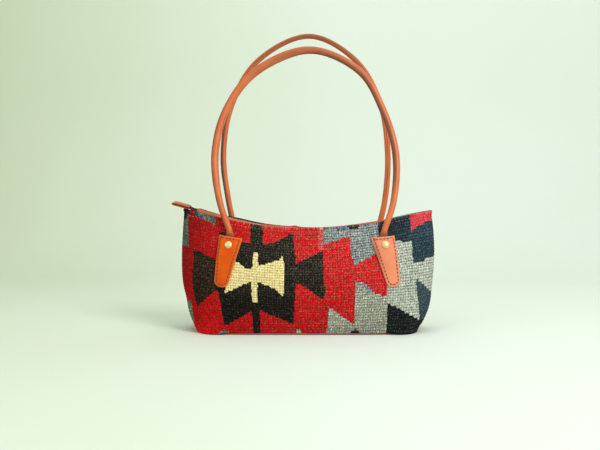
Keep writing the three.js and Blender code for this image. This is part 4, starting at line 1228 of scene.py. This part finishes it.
def handle(name, side, shape, nodes):
    line, out, radius, round_share = handle_line(side, shape)
    along = unit(np.gradient(line, axis=0))
    across = unit(np.cross(along, out))
    shown = np.cross(across, along) * side
    inner = -across * np.sign(across[len(line) // 2][2])
    far = distances(line)[:, None]
    near_end = np.minimum(far, far[-1] - far)
    radius = radius * (1 - shape["slim"] * smoothstep(near_end, 200, 330))
    turned = smoothstep(far / far[-1], *shape["turns"])
    seam = lerp(*shape["seam"], turned)
    turns = full_turn(HANDLE_SIDES)
    gap = (turns - seam + np.pi) % (2 * np.pi) - np.pi
    fin = shape["fin"] * (1 + 1.4 * smoothstep(near_end, 150, 330)) / (1 + (gap / FIN_HALF_TURN) ** 4)
    grow = (fin - bells(gap, [GROOVE])) * smoothstep(near_end, *SEAM_OPENS)
    wide = lerp(HANDLE_END_HALF_WIDTH, radius, round_share) + grow
    thick = lerp(HANDLE_END_HALF_THICKNESS, radius, round_share) + grow
    rings = line[:, None] + (np.cos(turns) * wide)[..., None] * inner[:, None]
    body_part = tube(rings + (np.sin(turns) * thick)[..., None] * shown[:, None])
    on_fin = radius + 0.2 * shape["fin"]
    stitches = handle_stitches(line, inner, shown, on_fin, seam + SEAM_TURN, near_end)
    points, faces = joined([body_part] + stitches)
    made = make_mesh(name, points, faces)
    # The fin's dark edge, and painted shade by the seam, at the left rim and by the tabs.
    edge_colour_and_painted_shade_share = handle_edge_colour_and_painted_shade(shape, far / far[-1], near_end, gap, turned).ravel()
    set_edge_colour_and_painted_shade(made, np.concatenate([edge_colour_and_painted_shade_share, np.zeros(len(points) - len(edge_colour_and_painted_shade_share))]))
    made.data.materials.append(LEATHERS["handle"])
    made.data.materials.append(THREAD)
    sewn = np.arange(len(faces)) >= len(body_part[1])
    made.data.polygons.foreach_set("material_index", sewn.astype(np.int32))
    face_outward(made)
    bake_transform(made)
    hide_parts(*nodes)


for side_name, side in SIDES:
    nodes = [f"{side_name}_handle"] + [f"{side_name}_{hand_name}_handle_end" for hand_name, _ in HANDS]
    handle(f"{side_name}_handle_leather", side, HANDLES[side_name], nodes)


# Cotton lining


def lining(columns=96, rows=30, top=0.955, slack=0.4, depth=0.35, run=5.3, slant=3.0):
    """Sack that hangs inside the walls, with creases of a depth, run and slant."""
    rings = []
    for v in np.linspace(0, top, rows):
        ring = section(v, np.linspace(0, 1, columns + 1), LINING_INSET + slack, 0.0)
        crease = depth * np.sin(ring[:, 0] / run + slant * v) * math.sin(math.pi * v)
        ring[:, 1] += crease + slack
        rings.append(np.concatenate([ring, to_side(ring, -1)[-2:0:-1]]))
    floor = np.array([lerp(rings[0], to_side(rings[0], 0), share) for share in (1.0, 0.7, 0.35)])
    floor[..., 2] = SEAM_HEIGHT + slack
    made = make_mesh("lining_cloth", *tube(np.concatenate([floor, rings]), closed=False))
    return dress(face_outward(made), COTTON, "lining_cotton", "lining")


lining_cloth = lining()


# Thread along the woven edges


def edge_stitches(side, left=-158, right=160, pitch=4.4, length=1.9, drop=5.5, proud=0.35, radius=0.32):
    """Row of thread that holds the facing, below the top edge of a panel."""
    x = np.arange(left, right, pitch)
    up = wall_normal(x, top_edge(x) - drop)
    starts, ends = (wall_point(at, top_edge(at) - drop) + proud * up for at in (x, x + length))
    return stitch_parts(*(to_side(points, side) for points in (starts, ends, up)), radius)


for side_name, side in SIDES:
    sew(f"{side_name}_edge_stitches", edge_stitches(side), SEAM_THREAD, "kilim_wool")


# Metal pieces keep their solids, with softened edges

SOFT_EDGE = 0.25

for node_name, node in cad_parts.items():
    if node.hide_render:
        continue
    node.data.materials.clear()
    node.data.materials.append(BRASS)
    if "rivet_post" not in node_name:
        soft = node.modifiers.new("soften", "BEVEL")
        soft.width = SOFT_EDGE * MM
        soft.segments = 2

# Stage


def stage(depth=0.62, curve=0.5, height=3.4, steps=14, below=0.0002):
    """Floor and backdrop in one sweep, in metres."""
    across = (-4.0, -1.2, 0.0, 1.2, 4.0)
    profile = [(y, 0.0) for y in (-3.2, -1.0, depth - 0.2)]
    for turn in np.linspace(0, np.pi / 2, steps):
        profile.append((depth + curve * math.sin(turn), curve * (1 - math.cos(turn))))
    profile.append((depth + curve, height))
    points = [(x, y, z - below) for y, z in profile for x in across]
    made = make_mesh("stage_sweep", np.array(points) / MM, quads(numbered(len(profile), len(across))))
    look = Look("stage_paper", 0.95, Specular_IOR_Level=0.1)
    along = look.node("ShaderNodeSeparateXYZ", {"Vector": look.place()})
    clouds = look.ramp(look.noise(2.2, 2.0), 0.3, 0.7, -0.1, 0.1)
    # Painted shade: the paper is darker and yellower towards the left, where the light falls off, with random
    # clouds.
    tint = look.math("ADD", look.ramp(along, -0.9, 0.1), clouds)
    look.link(look.mix(tint, srgb(214, 226, 196), srgb(230, 240, 228)), "Base Color")
    made.data.materials.append(look.made)


stage()

# Studio light: place, size and watts of each lamp, in metres

MIDDLE = (0.0, 0.0, 0.16)
BACKDROP = (0.0, 1.1, 0.7)


def lamp(name, place, aim, size, watts):
    light = bpy.data.lights.new(name, "AREA")
    light.shape = "DISK"
    light.size = size
    light.energy = watts
    made = bpy.data.objects.new(name, light)
    made.location = place
    made.rotation_mode = "QUATERNION"
    made.rotation_quaternion = (Vector(aim) - Vector(place)).to_track_quat("-Z", "Y")
    bpy.context.scene.collection.objects.link(made)


lamp("key", (1.05, -1.35, 1.25), MIDDLE, 1.0, 24.0)
lamp("fill", (-1.3, -1.3, 0.9), MIDDLE, 1.4, 5.0)
lamp("top", (0.1, 0.1, 1.9), MIDDLE, 1.5, 6.0)
lamp("backdrop", (0.0, -0.4, 2.2), BACKDROP, 1.6, 7.0)


def room(cast=0.4, shown=0.82, tint=(0.98, 1.0, 0.97, 1.0)):
    """Even light all round, paler where the camera or a shiny surface sees it."""
    world = bpy.data.worlds.new("studio")
    nodes = Nodes(world)
    rays = nodes.node("ShaderNodeLightPath").node.outputs
    seen = rays["Is Camera Ray"]
    for ray in ("Is Glossy Ray", "Is Transmission Ray"):
        seen = nodes.math("MAXIMUM", seen, rays[ray])
    background = nodes.tree.nodes["Background"]
    nodes.put(nodes.ramp(seen, 0.0, 1.0, cast, shown), background.inputs["Strength"])
    nodes.put(tint, background.inputs["Color"])
    bpy.context.scene.world = world


room()

# Camera at the photograph's height and distance; its focal length and pitch are in pixels of the photo

PHOTO_WIDTH = 600
FOCAL_PIXELS = 776
PITCH_PIXELS = 30
SENSOR_WIDTH = 36.0
CAMERA_PLACE = Vector((-10.4, -1045.0, 181.0)) * MM
CAMERA_TILT = math.pi / 2 - math.atan(PITCH_PIXELS / FOCAL_PIXELS)

camera = bpy.data.objects.new("camera", bpy.data.cameras.new("camera"))
camera.data.sensor_width = SENSOR_WIDTH
camera.data.lens = SENSOR_WIDTH * FOCAL_PIXELS / PHOTO_WIDTH
camera.data.clip_start = 0.01
camera.matrix_world = Matrix.Translation(CAMERA_PLACE) @ Matrix.Rotation(CAMERA_TILT, 4, "X")
bpy.context.scene.collection.objects.link(camera)
bpy.context.scene.camera = camera
bpy.context.scene.view_settings.view_transform = "Standard"
